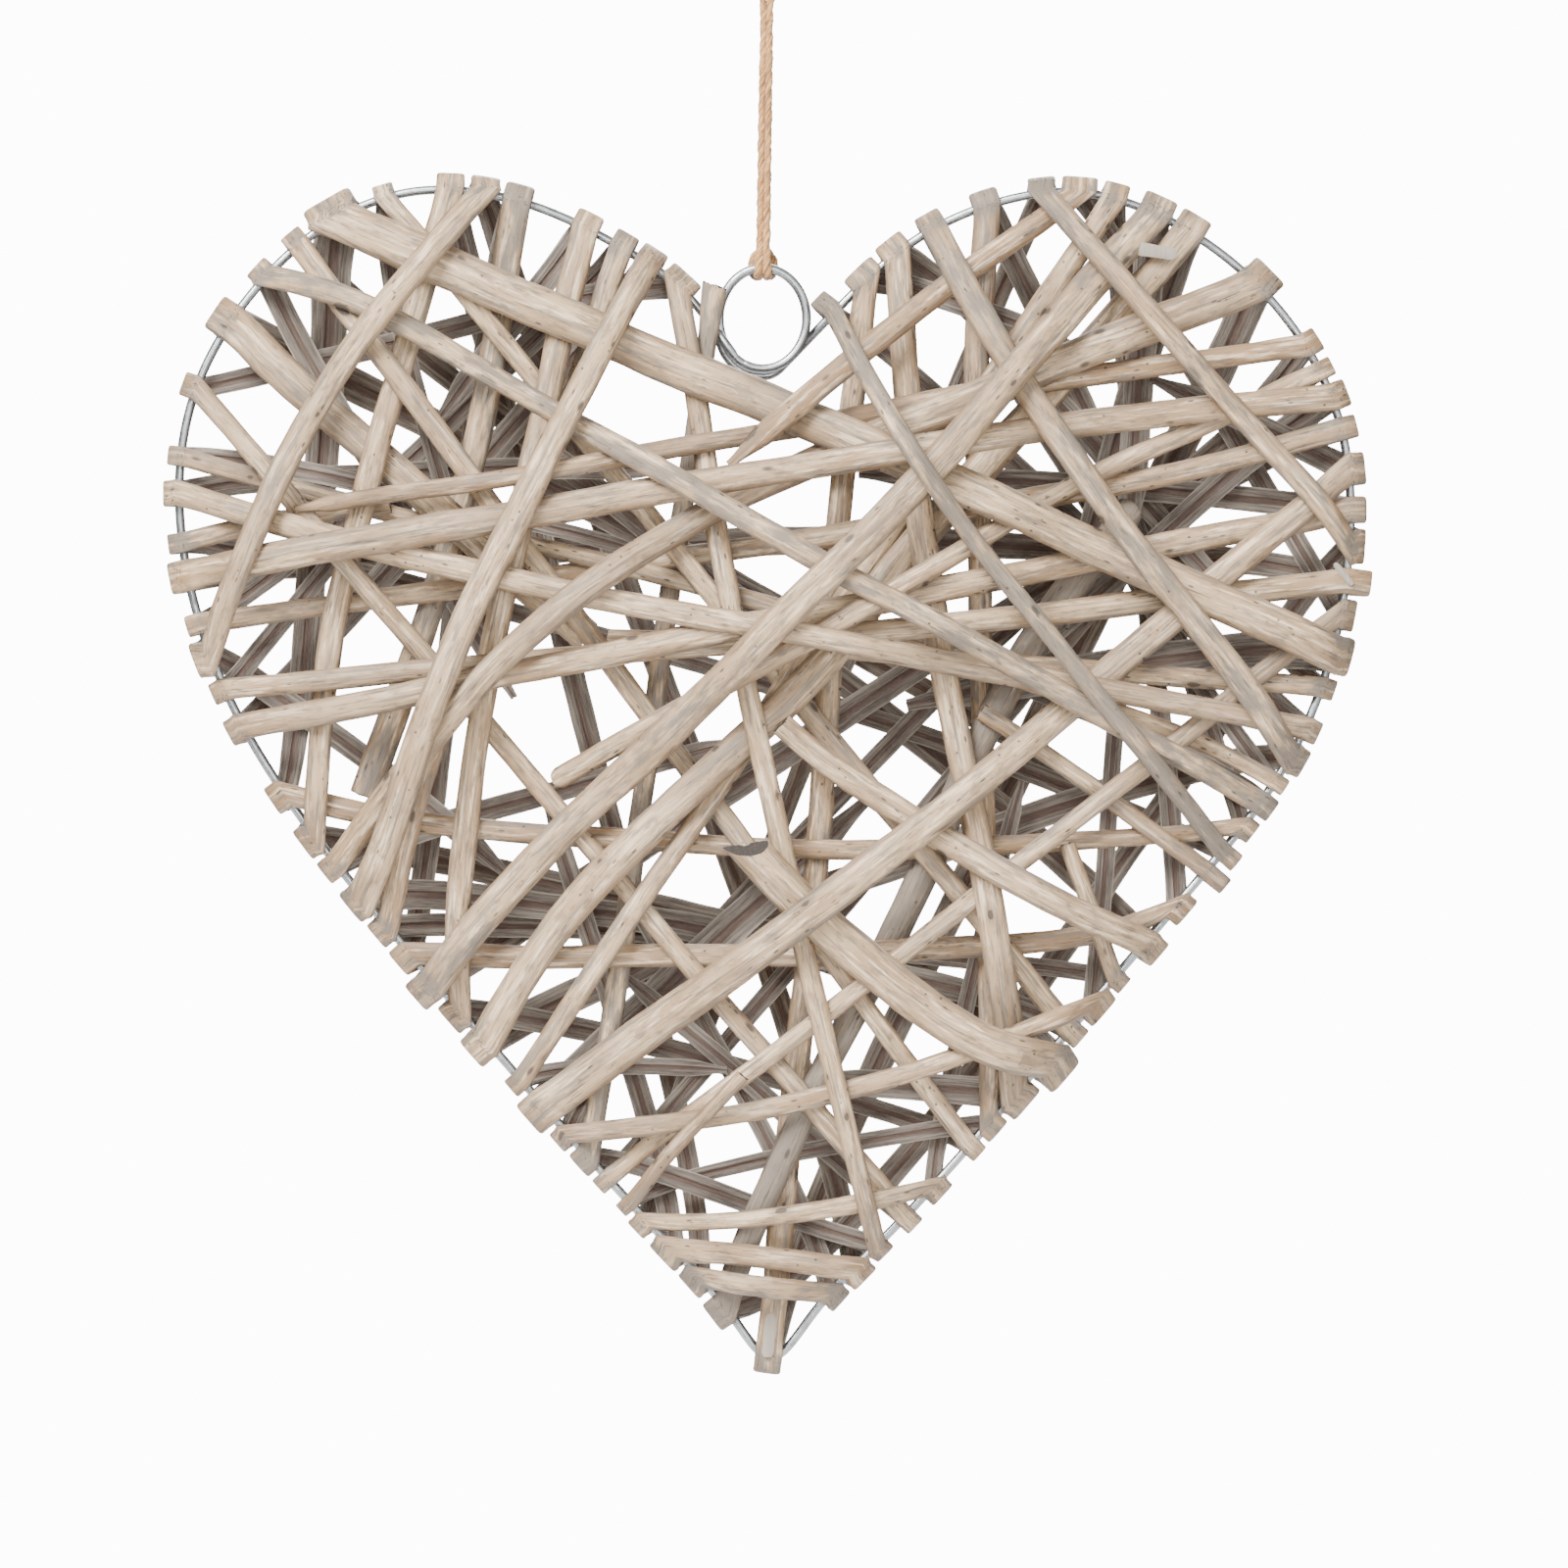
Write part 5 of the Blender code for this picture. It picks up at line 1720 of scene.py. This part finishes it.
    def build(self, finishes: Sequence[bpy.types.Material]) -> None:
        """Makes the finished rod.

        Args:
            finishes: The looks of the bark, of the split face and of the cut ends.
        """
        sections = self.sections()
        rows = self.corners(sections)
        across = self.profile.across
        mesh = bmesh.new()
        chips = [chip[extrude_through(mesh, chip)] for chip in self.chips(rows)]
        loose = np.concatenate([np.zeros((0, 3)), *chips])
        ring, corner = extrude_through(mesh, rows)
        data = finished(mesh, self.node.replace("willow_rod", "split_willow"), finishes)
        wide = across[corner] * np.linalg.norm(sections.half, axis=1)[ring]
        pick = np.full(len(ring), 1.7 * self.number)
        grain = np.column_stack([wide, sections.along[ring], pick])
        tone = np.column_stack([sections.tone[ring], np.abs(across[corner])])
        marks = self.marks(rows, sections)[ring, corner]
        for name, kind, first, values in (
            ("grain", "FLOAT_VECTOR", loose, grain),
            ("tone", "FLOAT_COLOR", np.ones((len(loose), 4)), tone),
            ("mark", "FLOAT_VECTOR", loose * 0 + FAR, marks),
        ):
            write_points(data, name, kind, np.concatenate([first, values]))
        corner = np.concatenate([np.full(len(loose), len(across)), corner])
        total, start = np.zeros((2, len(data.polygons)), np.int32)
        data.polygons.foreach_get("loop_total", total)
        data.polygons.foreach_get("loop_start", start)
        loops = np.zeros(len(data.loops), np.int32)
        data.loops.foreach_get("vertex_index", loops)
        four = corner[loops[start[:, None] + np.arange(4)]]
        index = np.where(four.max(axis=1) < len(self.profile.bark), 0, 1)
        index[total == len(across)] = 2
        data.polygons.foreach_set("material_index", index.astype(np.int32))
        settle(data, self.node, math.radians(26))


@dataclass
class TwineLoop:
    """The jute twine: two plies laid together, hitched to the ring and looped at the top."""

    wire: WireHeart
    diameter: float = 0.0024
    loop_width: float = 0.011  # The width of the loop at the top
    # How much nearer than their thickness the two strands are pressed together
    closeness: float = 0.0003
    ply_radius: float = 0.00110  # The radius of each of the two plies
    ply_offset: float = 0.00026  # How far each ply's middle stands from the twine's
    pitch: float = 0.0130  # The length in which the plies go once round each other
    spacing: float = 0.0005
    sides: int = 20  # The corners of a cross-section
    hitch_flare: float = 0.20  # How much wider the twine spreads in the hitch
    hairs: int = 150  # How many loose fibres stand off it
    hair_length: float = 0.0030  # The length of the longest of them
    hair_radius: float = 0.00007  # Half the thickness of one at its root

    def route(self) -> np.ndarray:
        """The centre of the twine, from behind the ring round the hitch, the loop and back.

        Returns:
            Its points.
        """
        ring_top = DRAWING.place((DRAWING.ring_centre[0], DRAWING.ring_top))
        thick = self.diameter
        gap = GAPS.twine
        under = self.wire.radius + gap + thick / 2
        reach = self.wire.coil_pitch / 2 + under
        beside = thick / 2 - self.closeness / 2
        loop = self.loop_width / 2
        top = -ring_top[1]
        half = [
            (gap / 2, reach + 0.1 * thick, 2.7 * thick),
            (0.8 * thick, reach + 0.1 * thick, 2.2 * thick),
            (1.4 * thick, reach + 0.1 * thick, 0.7 * thick),
            (1.35 * thick, reach, -0.5 * under),
            (0.95 * thick, 0.55 * reach, -0.84 * under),
            (0.62 * thick, -0.2 * reach, -0.84 * under),
            (0.56 * thick, -0.9 * reach, -0.6 * under),
            (0.56 * thick, -1.05 * reach, 0.3 * thick),
            (0.48 * thick, -0.85 * reach, 1.6 * thick),
            (beside, -0.3 * reach, 3.6 * thick),
            (beside, 0, 6 * thick),
            (beside, 0, 0.3 * top),
            (beside, 0, 0.55 * top),
            (beside, 0, top - 2.8 * loop),
            (0.36 * loop, 0, top - 2.1 * loop),
            (0.95 * loop, 0, top - 1.1 * loop),
            (0.72 * loop, 0, top - 0.2 * loop),
            (0, 0, top + thick / 2),
        ]
        whole = half + [(-x, y, z) for x, y, z in half[-2::-1]]
        lean = [ring_top[0] * (1 - max(0, z) / top) for _, _, z in whole]
        spots = [(x + side, y, ring_top[1] + z) for side, (x, y, z) in zip(lean, whole)]
        return smooth_curve(spots, 900)

    def build(self, finish: bpy.types.Material) -> None:
        """Makes the finished twine.

        Args:
            finish: The look of the jute.
        """
        line = self.route()
        length = float(lengths_along(line)[-1])
        line = evenly(line, round(length / self.spacing))
        along = lengths_along(line)
        ahead = units(np.gradient(line, axis=0))
        side = self.carried_across(ahead)
        up = np.cross(ahead, side)
        around = np.linspace(0, 2 * math.pi, self.sides, endpoint=False)
        outline = self.lobes(around)
        low = line[:, 2] < DRAWING.place((0, DRAWING.ring_top))[1] + 2 * self.diameter
        spread = 1 + self.hitch_flare * np.convolve(low, np.ones(9) / 9, "same")
        rough = spread * (1 + 0.06 * wander(along, 0.004, 4.2))
        tufts = 1 + 0.09 * ripple(along, 0.0022, np.arange(len(around)) * 2.3)
        turned = (around + (2 * math.pi * along / self.pitch)[:, None])[..., None]
        outward = side[:, None] * np.cos(turned) + up[:, None] * np.sin(turned)
        rows = line[:, None] + (outline * (rough[:, None] * tufts))[..., None] * outward
        mesh = bmesh.new()
        hairs = [extrude_through(mesh, hair) for hair in self.loose_hairs(line, ahead, side, up)]
        ring, corner = extrude_through(mesh, rows)
        grain = np.column_stack([around[corner] * self.ply_radius, along[ring], 0 * ring])
        groove = ((outline.max() - outline) / (outline.max() - outline.min()))[corner]
        loose = sum(len(places) for places, _ in hairs)
        data = finished(mesh, "jute_twine", [finish])
        write_points(data, "grain", "FLOAT_VECTOR", np.concatenate([np.zeros((loose, 3)), grain]))
        write_points(data, "groove", "FLOAT", np.concatenate([np.zeros(loose), groove]))
        piece = settle(data, "twine", math.radians(80))

    def loose_hairs(
        self, line: np.ndarray, ahead: np.ndarray, side: np.ndarray, up: np.ndarray
    ) -> list[np.ndarray]:
        """The fibres that stand off the twine.

        Args:
            line: The twine's centre.
            ahead: Its direction at each point.
            side: A direction across it there.
            up: The other direction across it.

        Returns:
            For each fibre, the corners of its sections.
        """
        chance = np.random.default_rng(11)
        found = []
        for _ in range(self.hairs):
            at = int(chance.integers(20, len(line) - 20))
            turn = chance.uniform(0, 2 * math.pi)
            curl, lean = chance.uniform(-1, 1), chance.uniform(-1.2, 1.2)
            out = side[at] * math.cos(turn) + up[at] * math.sin(turn)
            over = np.cross(ahead[at], out)
            reach = self.hair_length * chance.uniform(0.35, 1.0)
            rows = []
            for share in np.linspace(0, 1, 5):
                spot = line[at] + out * (0.9 * self.ply_radius + 0.55 * reach * share)
                spot = spot + ahead[at] * reach * lean * share
                spot = spot + over * reach * curl * share**2 * 0.6
                thin = self.hair_radius * (1 - 0.7 * share)
                for a in (0.5, 2.6, 4.7):
                    rows.append(spot + thin * (over * math.cos(a) + ahead[at] * math.sin(a)))
            found.append(np.array(rows).reshape(5, 3, 3))
        return found

    def lobes(self, around: np.ndarray) -> np.ndarray:
        """How far the outline of the two plies stands out in each direction."""
        low = np.clip(self.ply_offset * np.sin(around), -self.ply_radius, self.ply_radius)
        return self.ply_offset * np.abs(np.cos(around)) + np.sqrt(self.ply_radius**2 - low**2)

    def carried_across(self, ahead: np.ndarray) -> np.ndarray:
        """Carries a direction across the twine along it without twisting it.

        Args:
            ahead: The twine's direction at each of its points.

        Returns:
            The direction across it at each point.
        """
        side = np.cross(ahead[0], (0.0, 1.0, 0.3))
        found = []
        for direction in ahead:
            side = side - direction * np.dot(side, direction)
            side = side / np.linalg.norm(side)
            found.append(side)
        return np.array(found)


@dataclass
class Shader:
    """A material's nodes, with short calls for those that the finishes share."""

    name: str
    material: bpy.types.Material = field(init=False)

    def __post_init__(self) -> None:
        """Starts the material with its one shader."""
        self.material = bpy.data.materials.new(self.name)
        self.material.use_nodes = True

    @property
    def tree(self) -> bpy.types.NodeTree:
        """The material's node tree."""
        return self.material.node_tree

    @property
    def surface(self) -> bpy.types.Node:
        """The shader that everything ends in."""
        return self.tree.nodes["Principled BSDF"]

    def feed(self, socket: bpy.types.NodeSocket, source: Source) -> None:
        """Links a socket to another one or sets its value.

        Args:
            socket: The socket.
            source: The other socket, a number or a colour.
        """
        if isinstance(source, bpy.types.NodeSocket):
            self.tree.links.new(source, socket)
        elif isinstance(source, (int, float)):
            socket.default_value = source
        else:
            values = tuple(source)
            count = len(socket.default_value)
            socket.default_value = values + (1.0,) * (count - len(values))

    def node(
        self, kind: str, sources: dict[str | int, Source], **settings: object
    ) -> bpy.types.Node:
        """Adds a node.

        Args:
            kind: Its Blender type.
            sources: What its inputs get, by name or number.
            **settings: Its other settings.

        Returns:
            The node.
        """
        made = self.tree.nodes.new(kind)
        for key, value in settings.items():
            setattr(made, key, value)
        for key, source in sources.items():
            self.feed(made.inputs[key], source)
        return made

    def math(self, operation: str, *sources: Source, clamp: bool = False) -> bpy.types.NodeSocket:
        """Does a sum on each point of the surface, and clamps the answer from 0 to 1 if asked."""
        settings = {"operation": operation, "use_clamp": clamp}
        return self.node("ShaderNodeMath", dict(enumerate(sources)), **settings).outputs[0]

    def span(
        self, value: Source, low: float, high: float, to_low: float = 0.0, to_high: float = 1.0
    ) -> bpy.types.NodeSocket:
        """Spreads the values from low to high smoothly over another range, and holds the rest."""
        inputs = {0: value, 1: low, 2: high, 3: to_low, 4: to_high}
        return self.node("ShaderNodeMapRange", inputs, interpolation_type="SMOOTHSTEP").outputs[0]

    def mix(self, share: Source, first: Source, second: Source) -> bpy.types.NodeSocket:
        """Blends two colours by the second one's share."""
        made = self.node("ShaderNodeMix", {0: share, 6: first, 7: second}, data_type="RGBA")
        return made.outputs[2]

    def attribute(self, name: str) -> bpy.types.Node:
        """Reads a value that the piece's points keep."""
        return self.node("ShaderNodeAttribute", {}, attribute_name=name)

    def scaled(self, vector: Source, sizes: Sequence[float]) -> bpy.types.NodeSocket:
        """Counts a vector's distances along each axis in the given sizes."""
        sources = {0: vector, 1: tuple(1 / size for size in sizes)}
        return self.node("ShaderNodeVectorMath", sources, operation="MULTIPLY").outputs[0]

    def noise(
        self, vector: Source, sizes: Sequence[float], detail: float = 3.0, roughness: float = 0.55
    ) -> bpy.types.NodeSocket:
        """A smooth random pattern.

        Args:
            vector: Where on the surface it is.
            sizes: The size of its patches along each axis.
            detail: How many finer patterns are added.
            roughness: How strong those are.

        Returns:
            A value about 0.5.
        """
        inputs = {"Vector": self.scaled(vector, sizes), "Scale": 1.0}
        inputs |= {"Detail": detail, "Roughness": roughness}
        return self.node("ShaderNodeTexNoise", inputs).outputs[0]

    def spots(self, vector: Source, sizes: Sequence[float], radius: float) -> bpy.types.NodeSocket:
        """Scattered spots.

        Args:
            vector: Where on the surface it is.
            sizes: The usual distance between spots along each axis.
            radius: A spot's radius as a share of that.

        Returns:
            1 in a spot and 0 outside.
        """
        inputs = {"Vector": self.scaled(vector, sizes), "Scale": 1.0, "Randomness": 1.0}
        distance = self.node("ShaderNodeTexVoronoi", inputs).outputs["Distance"]
        return self.span(distance, radius, radius * 0.45)

    def bump(self, height: Source, distance: float, strength: float = 1.0) -> None:
        """Raises the surface by a pattern, whose 1 stands the distance over its 0."""
        inputs = {"Strength": strength, "Distance": distance, "Height": height}
        self.feed(self.surface.inputs["Normal"], self.node("ShaderNodeBump", inputs).outputs[0])

    def painted(self, colour: Source, roughness: Source) -> bpy.types.Material:
        """Ends the material.

        Args:
            colour: The colour of its surface.
            roughness: How rough that is.

        Returns:
            The material.
        """
        self.feed(self.surface.inputs["Base Color"], colour)
        self.feed(self.surface.inputs["Roughness"], roughness)
        return self.material


@dataclass(frozen=True)
class BarkFinish:
    """The outside of a rod: dry bark, pale in the middle, tan at the edges (partly its own colour,
    partly painted shade where the round bark turns away), streaked, spotted.
    """

    pale: Colour = (0.390, 0.271, 0.155)
    # The colour of the painted sheen, light streaks that stand in for soft highlights
    light: Colour = (0.680, 0.515, 0.345)
    tan: Colour = (0.215, 0.124, 0.055)
    grey: Colour = (0.122, 0.100, 0.078)
    # Scuffs, and also the painted shade at the bark's edges
    scuff_and_shade: Colour = (0.150, 0.100, 0.060)
    dark: Colour = (0.024, 0.015, 0.009)
    roughness: float = 0.66

    def material(self) -> bpy.types.Material:
        """Makes the material.

        Returns:
            The material.
        """
        make = Shader("willow_bark")
        grain = make.attribute("grain").outputs["Vector"]
        tone = make.attribute("tone")
        shares = make.node("ShaderNodeSeparateColor", {0: tone.outputs["Color"]})
        tan, grey, bend = list(shares.outputs)
        edge = tone.outputs["Alpha"]
        broad = make.noise(grain, (0.0060, 0.030, 1.0), 2.0)
        fine = make.noise(grain, (0.00075, 0.013, 1.0), 4.0, 0.7)
        mottle = make.noise(grain, (0.0024, 0.0080, 1.0), 4.0, 0.65)
        streak = make.noise(grain, (0.0013, 0.034, 1.0), 3.0, 0.6)
        sheen = make.noise(grain, (0.0017, 0.022, 3.0), 3.0, 0.6)
        patch = make.noise(grain, (0.0035, 0.014, 1.0), 3.0)
        tanned = make.span(broad, 0.32, 0.68, -0.3, 0.6)
        # The edges are made more tan: partly the bark's own tan edges, partly painted shade where
        # the round face turns away
        tanned = make.math("ADD", make.span(edge, 0.45, 1.1, 0.0, 0.45), tanned)
        tanned = make.math("MULTIPLY_ADD", make.span(bend, 0.1, 0.9), 0.3, tanned)
        tanned = make.math("ADD", tanned, make.math("MULTIPLY_ADD", tan, 1.8, -0.62), clamp=True)
        colour = make.mix(tanned, self.pale, self.tan)
        # Painted sheen: light streaks along the grain stand in for soft highlights
        colour = make.mix(make.span(sheen, 0.50, 0.64, 0.0, 0.65), colour, self.light)
        colour = make.mix(make.span(mottle, 0.48, 0.68, 0.0, 0.70), colour, self.scuff_and_shade)
        # Painted shade: both edges of the bark darken where its round face turns away from the
        # light
        colour = make.mix(make.span(edge, 0.55, 1.0, 0.0, 0.6), colour, self.scuff_and_shade)
        ageing = make.noise(grain, (0.5, 0.110, 0.9), 1.0)
        colour = make.mix(make.span(ageing, 0.45, 0.72, 0.0, 0.55), colour, self.scuff_and_shade)
        weather = make.math("ADD", grey, make.span(bend, 0.2, 1.0, 0.0, 0.25))
        threshold = make.span(weather, 0.0, 1.0, 0.78, 0.30)
        worn = make.span(make.math("SUBTRACT", patch, threshold), -0.06, 0.12, 0.0, 0.85)
        colour = make.mix(worn, colour, self.grey)
        colour = make.mix(make.span(streak, 0.52, 0.64, 0.0, 0.70), colour, self.grey)
        colour = make.mix(make.span(fine, 0.52, 0.72, 0.0, 0.75), colour, self.dark)
        dashes = make.spots(grain, (0.0026, 0.0090, 1.0), 0.17)
        specks = make.spots(grain, (0.0042, 0.0052, 1.0), 0.13)
        knots = make.spots(grain, (0.0120, 0.0300, 4.0), 0.095)
        where = make.noise(grain, (0.012, 0.045, 1.0), 2.0)
        marks = make.math("MAXIMUM", dashes, specks)
        marks = make.math("MULTIPLY", marks, make.span(where, 0.44, 0.56))
        mark = {0: make.attribute("mark").outputs["Vector"]}
        scar = make.node("ShaderNodeVectorMath", mark, operation="LENGTH").outputs["Value"]
        scar = make.math("MULTIPLY_ADD", make.math("SUBTRACT", mottle, 0.5), 2.6, scar)
        colour = make.mix(make.span(scar, 2.8, 1.1, 0.0, 0.6), colour, self.scuff_and_shade)
        marks = make.math("MAXIMUM", marks, make.math("MAXIMUM", knots, make.span(scar, 1.1, 0.6)))
        colour = make.mix(make.math("MULTIPLY", marks, 0.85), colour, self.dark)
        crack = make.noise(grain, (0.0016, 0.0006, 1.0), 2.0)
        cracks = make.math("MULTIPLY", make.span(crack, 0.58, 0.70), make.span(bend, 0.6, 1.0))
        colour = make.mix(make.math("MULTIPLY", cracks, 0.6), colour, self.dark)
        rough = make.span(patch, 0.3, 0.8, self.roughness - 0.1, self.roughness + 0.15)
        relief = make.math("MULTIPLY_ADD", fine, -0.6, make.math("MULTIPLY", streak, -0.4))
        relief = make.math("MULTIPLY_ADD", cracks, -0.4, relief)
        make.bump(relief, 0.0005, 0.9)
        return make.painted(colour, rough)


@dataclass(frozen=True)
class SplitFinish:
    """The inside of a rod: the split wood with its darker pith groove and pale edges."""

    wood: Colour = (0.170, 0.138, 0.110)
    shade: Colour = (0.062, 0.050, 0.040)
    pith: Colour = (0.084, 0.047, 0.033)
    edge: Colour = (0.300, 0.256, 0.208)
    roughness: float = 0.8

    def material(self) -> bpy.types.Material:
        """Makes the material.

        Returns:
            The material.
        """
        make = Shader("willow_split_face")
        grain = make.attribute("grain").outputs["Vector"]
        across = make.attribute("tone").outputs["Alpha"]
        fine = make.noise(grain, (0.0004, 0.012, 1.0), 4.0, 0.7)
        broad = make.noise(grain, (0.0012, 0.035, 1.0), 3.0)
        colour = make.mix(make.span(fine, 0.35, 0.68), self.wood, self.shade)
        colour = make.mix(make.span(broad, 0.50, 0.70, 0.0, 0.6), colour, self.edge)
        colour = make.mix(make.span(across, 0.34, 0.20, 0.0, 0.7), colour, self.pith)
        colour = make.mix(make.span(across, 0.82, 1.0, 0.0, 0.8), colour, self.edge)
        make.bump(fine, 0.0005, 0.9)
        return make.painted(colour, self.roughness)


@dataclass(frozen=True)
class CutEndFinish:
    """The cut ends: darker end grain, rough from the shears."""

    wood: Colour = (0.032, 0.024, 0.018)
    dark: Colour = (0.011, 0.008, 0.006)
    roughness: float = 0.85

    def material(self) -> bpy.types.Material:
        """Makes the material.

        Returns:
            The material.
        """
        make = Shader("willow_cut_end")
        place = make.node("ShaderNodeTexCoord", {}).outputs["Object"]
        rough = make.noise(place, (0.0007, 0.0007, 0.0007), 4.0, 0.7)
        colour = make.mix(make.span(rough, 0.35, 0.65), self.wood, self.dark)
        make.bump(rough, 0.0004, 0.9)
        return make.painted(colour, self.roughness)


@dataclass(frozen=True)
class SteelFinish:
    """The wire: bright galvanised steel with a faint cloudiness and darker stains."""

    zinc: Colour = (0.31, 0.32, 0.325)
    stain: Colour = (0.18, 0.18, 0.18)
    roughness: float = 0.32

    def material(self) -> bpy.types.Material:
        """Makes the material.

        Returns:
            The material.
        """
        make = Shader("galvanised_steel")
        place = make.node("ShaderNodeTexCoord", {}).outputs["Object"]
        cloud = make.noise(place, (0.004, 0.004, 0.004), 4.0, 0.6)
        grit = make.noise(place, (0.0006, 0.0006, 0.0006), 3.0, 0.6)
        stains = make.span(cloud, 0.50, 0.74, 0.0, 0.6)
        make.feed(make.surface.inputs["Metallic"], 1.0)
        rough = make.span(cloud, 0.3, 0.7, self.roughness - 0.06, self.roughness + 0.12)
        rough = make.math("ADD", rough, make.math("MULTIPLY_ADD", grit, 0.2, -0.1))
        make.bump(grit, 0.00006, 0.5)
        return make.painted(make.mix(stains, self.zinc, self.stain), rough)


@dataclass(frozen=True)
class JuteFinish:
    """The twine: golden brown jute, its fibres running along each ply."""

    light: Colour = (0.540, 0.292, 0.106)
    base: Colour = (0.300, 0.132, 0.038)
    shade: Colour = (0.095, 0.040, 0.014)
    roughness: float = 0.9

    def material(self) -> bpy.types.Material:
        """Makes the material.

        Returns:
            The material.
        """
        make = Shader("jute_twine")
        grain = make.attribute("grain").outputs["Vector"]
        groove = make.attribute("groove").outputs["Fac"]
        fibre = make.noise(grain, (0.00055, 0.0060, 1.0), 3.0, 0.65)
        tuft = make.noise(grain, (0.0009, 0.0055, 1.0), 2.0)
        colour = make.mix(make.span(fibre, 0.38, 0.62), self.base, self.light)
        colour = make.mix(make.span(tuft, 0.48, 0.66, 0.0, 0.75), colour, self.shade)
        colour = make.mix(make.span(groove, 0.60, 1.0, 0.0, 0.45), colour, self.shade)
        make.feed(make.surface.inputs["Sheen Weight"], 0.25)
        make.bump(fibre, 0.00040, 1.0)
        return make.painted(colour, self.roughness)


@dataclass(frozen=True)
class FloorFinish:
    """The studio's plain pale floor."""

    paint: Colour = (0.80, 0.80, 0.80)
    roughness: float = 0.9

    def material(self) -> bpy.types.Material:
        """Makes the material."""
        return Shader("studio_floor").painted(self.paint, self.roughness)


@dataclass
class Studio:
    """The camera, the floor, the backdrop's light and the lamps."""

    distance: float = 4.0  # How far the camera stands in front of the heart
    sensor: float = 36.0  # The width of the camera's sensor, in millimetres
    floor_radius: float = 1.3
    floor_height: float = -0.86
    backdrop: float = 13.0  # How bright the backdrop is for the camera
    fill: float = 0.74  # How bright it is for the heart, from the front
    behind: float = 0.30  # How bright it is from behind, as a share of that

    @property
    def middle(self) -> np.ndarray:
        """The place, across and up, at the middle of the picture."""
        return DRAWING.place((DRAWING.middle_square, DRAWING.middle_square))

    def camera(self) -> None:
        """Sets the camera up straight in front, far away, as the photograph was taken."""
        data = bpy.data.cameras.new("camera")
        data.sensor_width = self.sensor
        data.lens = self.sensor * self.distance / (DRAWING.squares * DRAWING.square)
        data.clip_end = 50.0
        camera = bpy.data.objects.new("camera", data)
        camera.location = (self.middle[0], -self.distance, self.middle[1])
        camera.rotation_euler = (math.radians(90), 0.0, 0.0)
        bpy.context.scene.collection.objects.link(camera)
        bpy.context.scene.camera = camera

    def floor(self) -> None:
        """Lays the plain pale floor."""
        mesh = bmesh.new()
        shift = Matrix.Translation((0.0, 0.0, self.floor_height))
        size = self.floor_radius
        bmesh.ops.create_circle(mesh, cap_ends=True, segments=96, radius=size, matrix=shift)
        data = bpy.data.meshes.new("floor")
        mesh.to_mesh(data)
        mesh.free()
        data.materials.append(FloorFinish().material())
        floor = bpy.data.objects.new("floor", data)
        bpy.context.scene.collection.objects.link(floor)

    def lamp(self, name: str, place: Sequence[float], size: float, power: float) -> None:
        """Hangs a soft lamp that looks at the heart's middle.

        Args:
            name: Its name.
            place: Where it hangs.
            size: The side of its square.
            power: Its power in watts.
        """
        data = bpy.data.lights.new(name, "AREA")
        data.size = size
        data.energy = power
        lamp = bpy.data.objects.new(name, data)
        lamp.location = place
        away = Vector(place) - Vector((self.middle[0], 0.0, self.middle[1]))
        lamp.rotation_euler = away.to_track_quat("Z", "Y").to_euler()
        bpy.context.scene.collection.objects.link(lamp)

    def light(self) -> None:
        """Lights the heart softly from the front and above, before a bright plain backdrop."""
        self.lamp("key_light", (-1.35, -2.1, 1.8), 1.6, 430.0)
        self.lamp("fill_light", (1.9, -2.0, 0.4), 2.2, 40.0)
        self.lamp("front_light", (0.1, -4.3, 0.1), 1.4, 80.0)
        self.lamp("back_light", (0.4, 2.4, 1.2), 2.0, 190.0)
        world = bpy.data.worlds.new("plain_backdrop")
        world.use_nodes = True
        nodes, links = world.node_tree.nodes, world.node_tree.links
        nodes.clear()
        path = nodes.new("ShaderNodeLightPath")
        seen, lit = nodes.new("ShaderNodeBackground"), nodes.new("ShaderNodeBackground")
        seen.inputs["Strength"].default_value = self.backdrop
        seen.inputs["Color"].default_value = (1.0, 1.0, 1.0, 1.0)
        lit.inputs["Color"].default_value = (1.0, 1.0, 1.0, 1.0)
        facing, ease = nodes.new("ShaderNodeSeparateXYZ"), nodes.new("ShaderNodeMapRange")
        links.new(nodes.new("ShaderNodeTexCoord").outputs["Generated"], facing.inputs[0])
        links.new(facing.outputs["Y"], ease.inputs[0])
        for number, value in enumerate((-0.6, 0.45, self.fill, self.fill * self.behind), 1):
            ease.inputs[number].default_value = value
        links.new(ease.outputs[0], lit.inputs["Strength"])
        both, output = nodes.new("ShaderNodeMixShader"), nodes.new("ShaderNodeOutputWorld")
        links.new(path.outputs["Is Camera Ray"], both.inputs[0])
        links.new(lit.outputs[0], both.inputs[1])
        links.new(seen.outputs[0], both.inputs[2])
        links.new(both.outputs[0], output.inputs["Surface"])
        bpy.context.scene.world = world


def main() -> None:
    """Builds the studio, the twine, the wire and the rods, in that order."""
    logging.basicConfig(level=logging.INFO, format="%(message)s")
    studio = Studio()
    studio.camera()
    wire = WireHeart()
    TwineLoop(wire).build(JuteFinish().material())
    studio.floor()
    studio.light()
    wire.build(SteelFinish().material())
    finishes = [BarkFinish().material(), SplitFinish().material(), CutEndFinish().material()]
    for number, chain in enumerate(Winding(wire).rods(), 1):
        WillowRod(number, chain, wire).build(finishes)


if __name__ == "__main__":
    main()
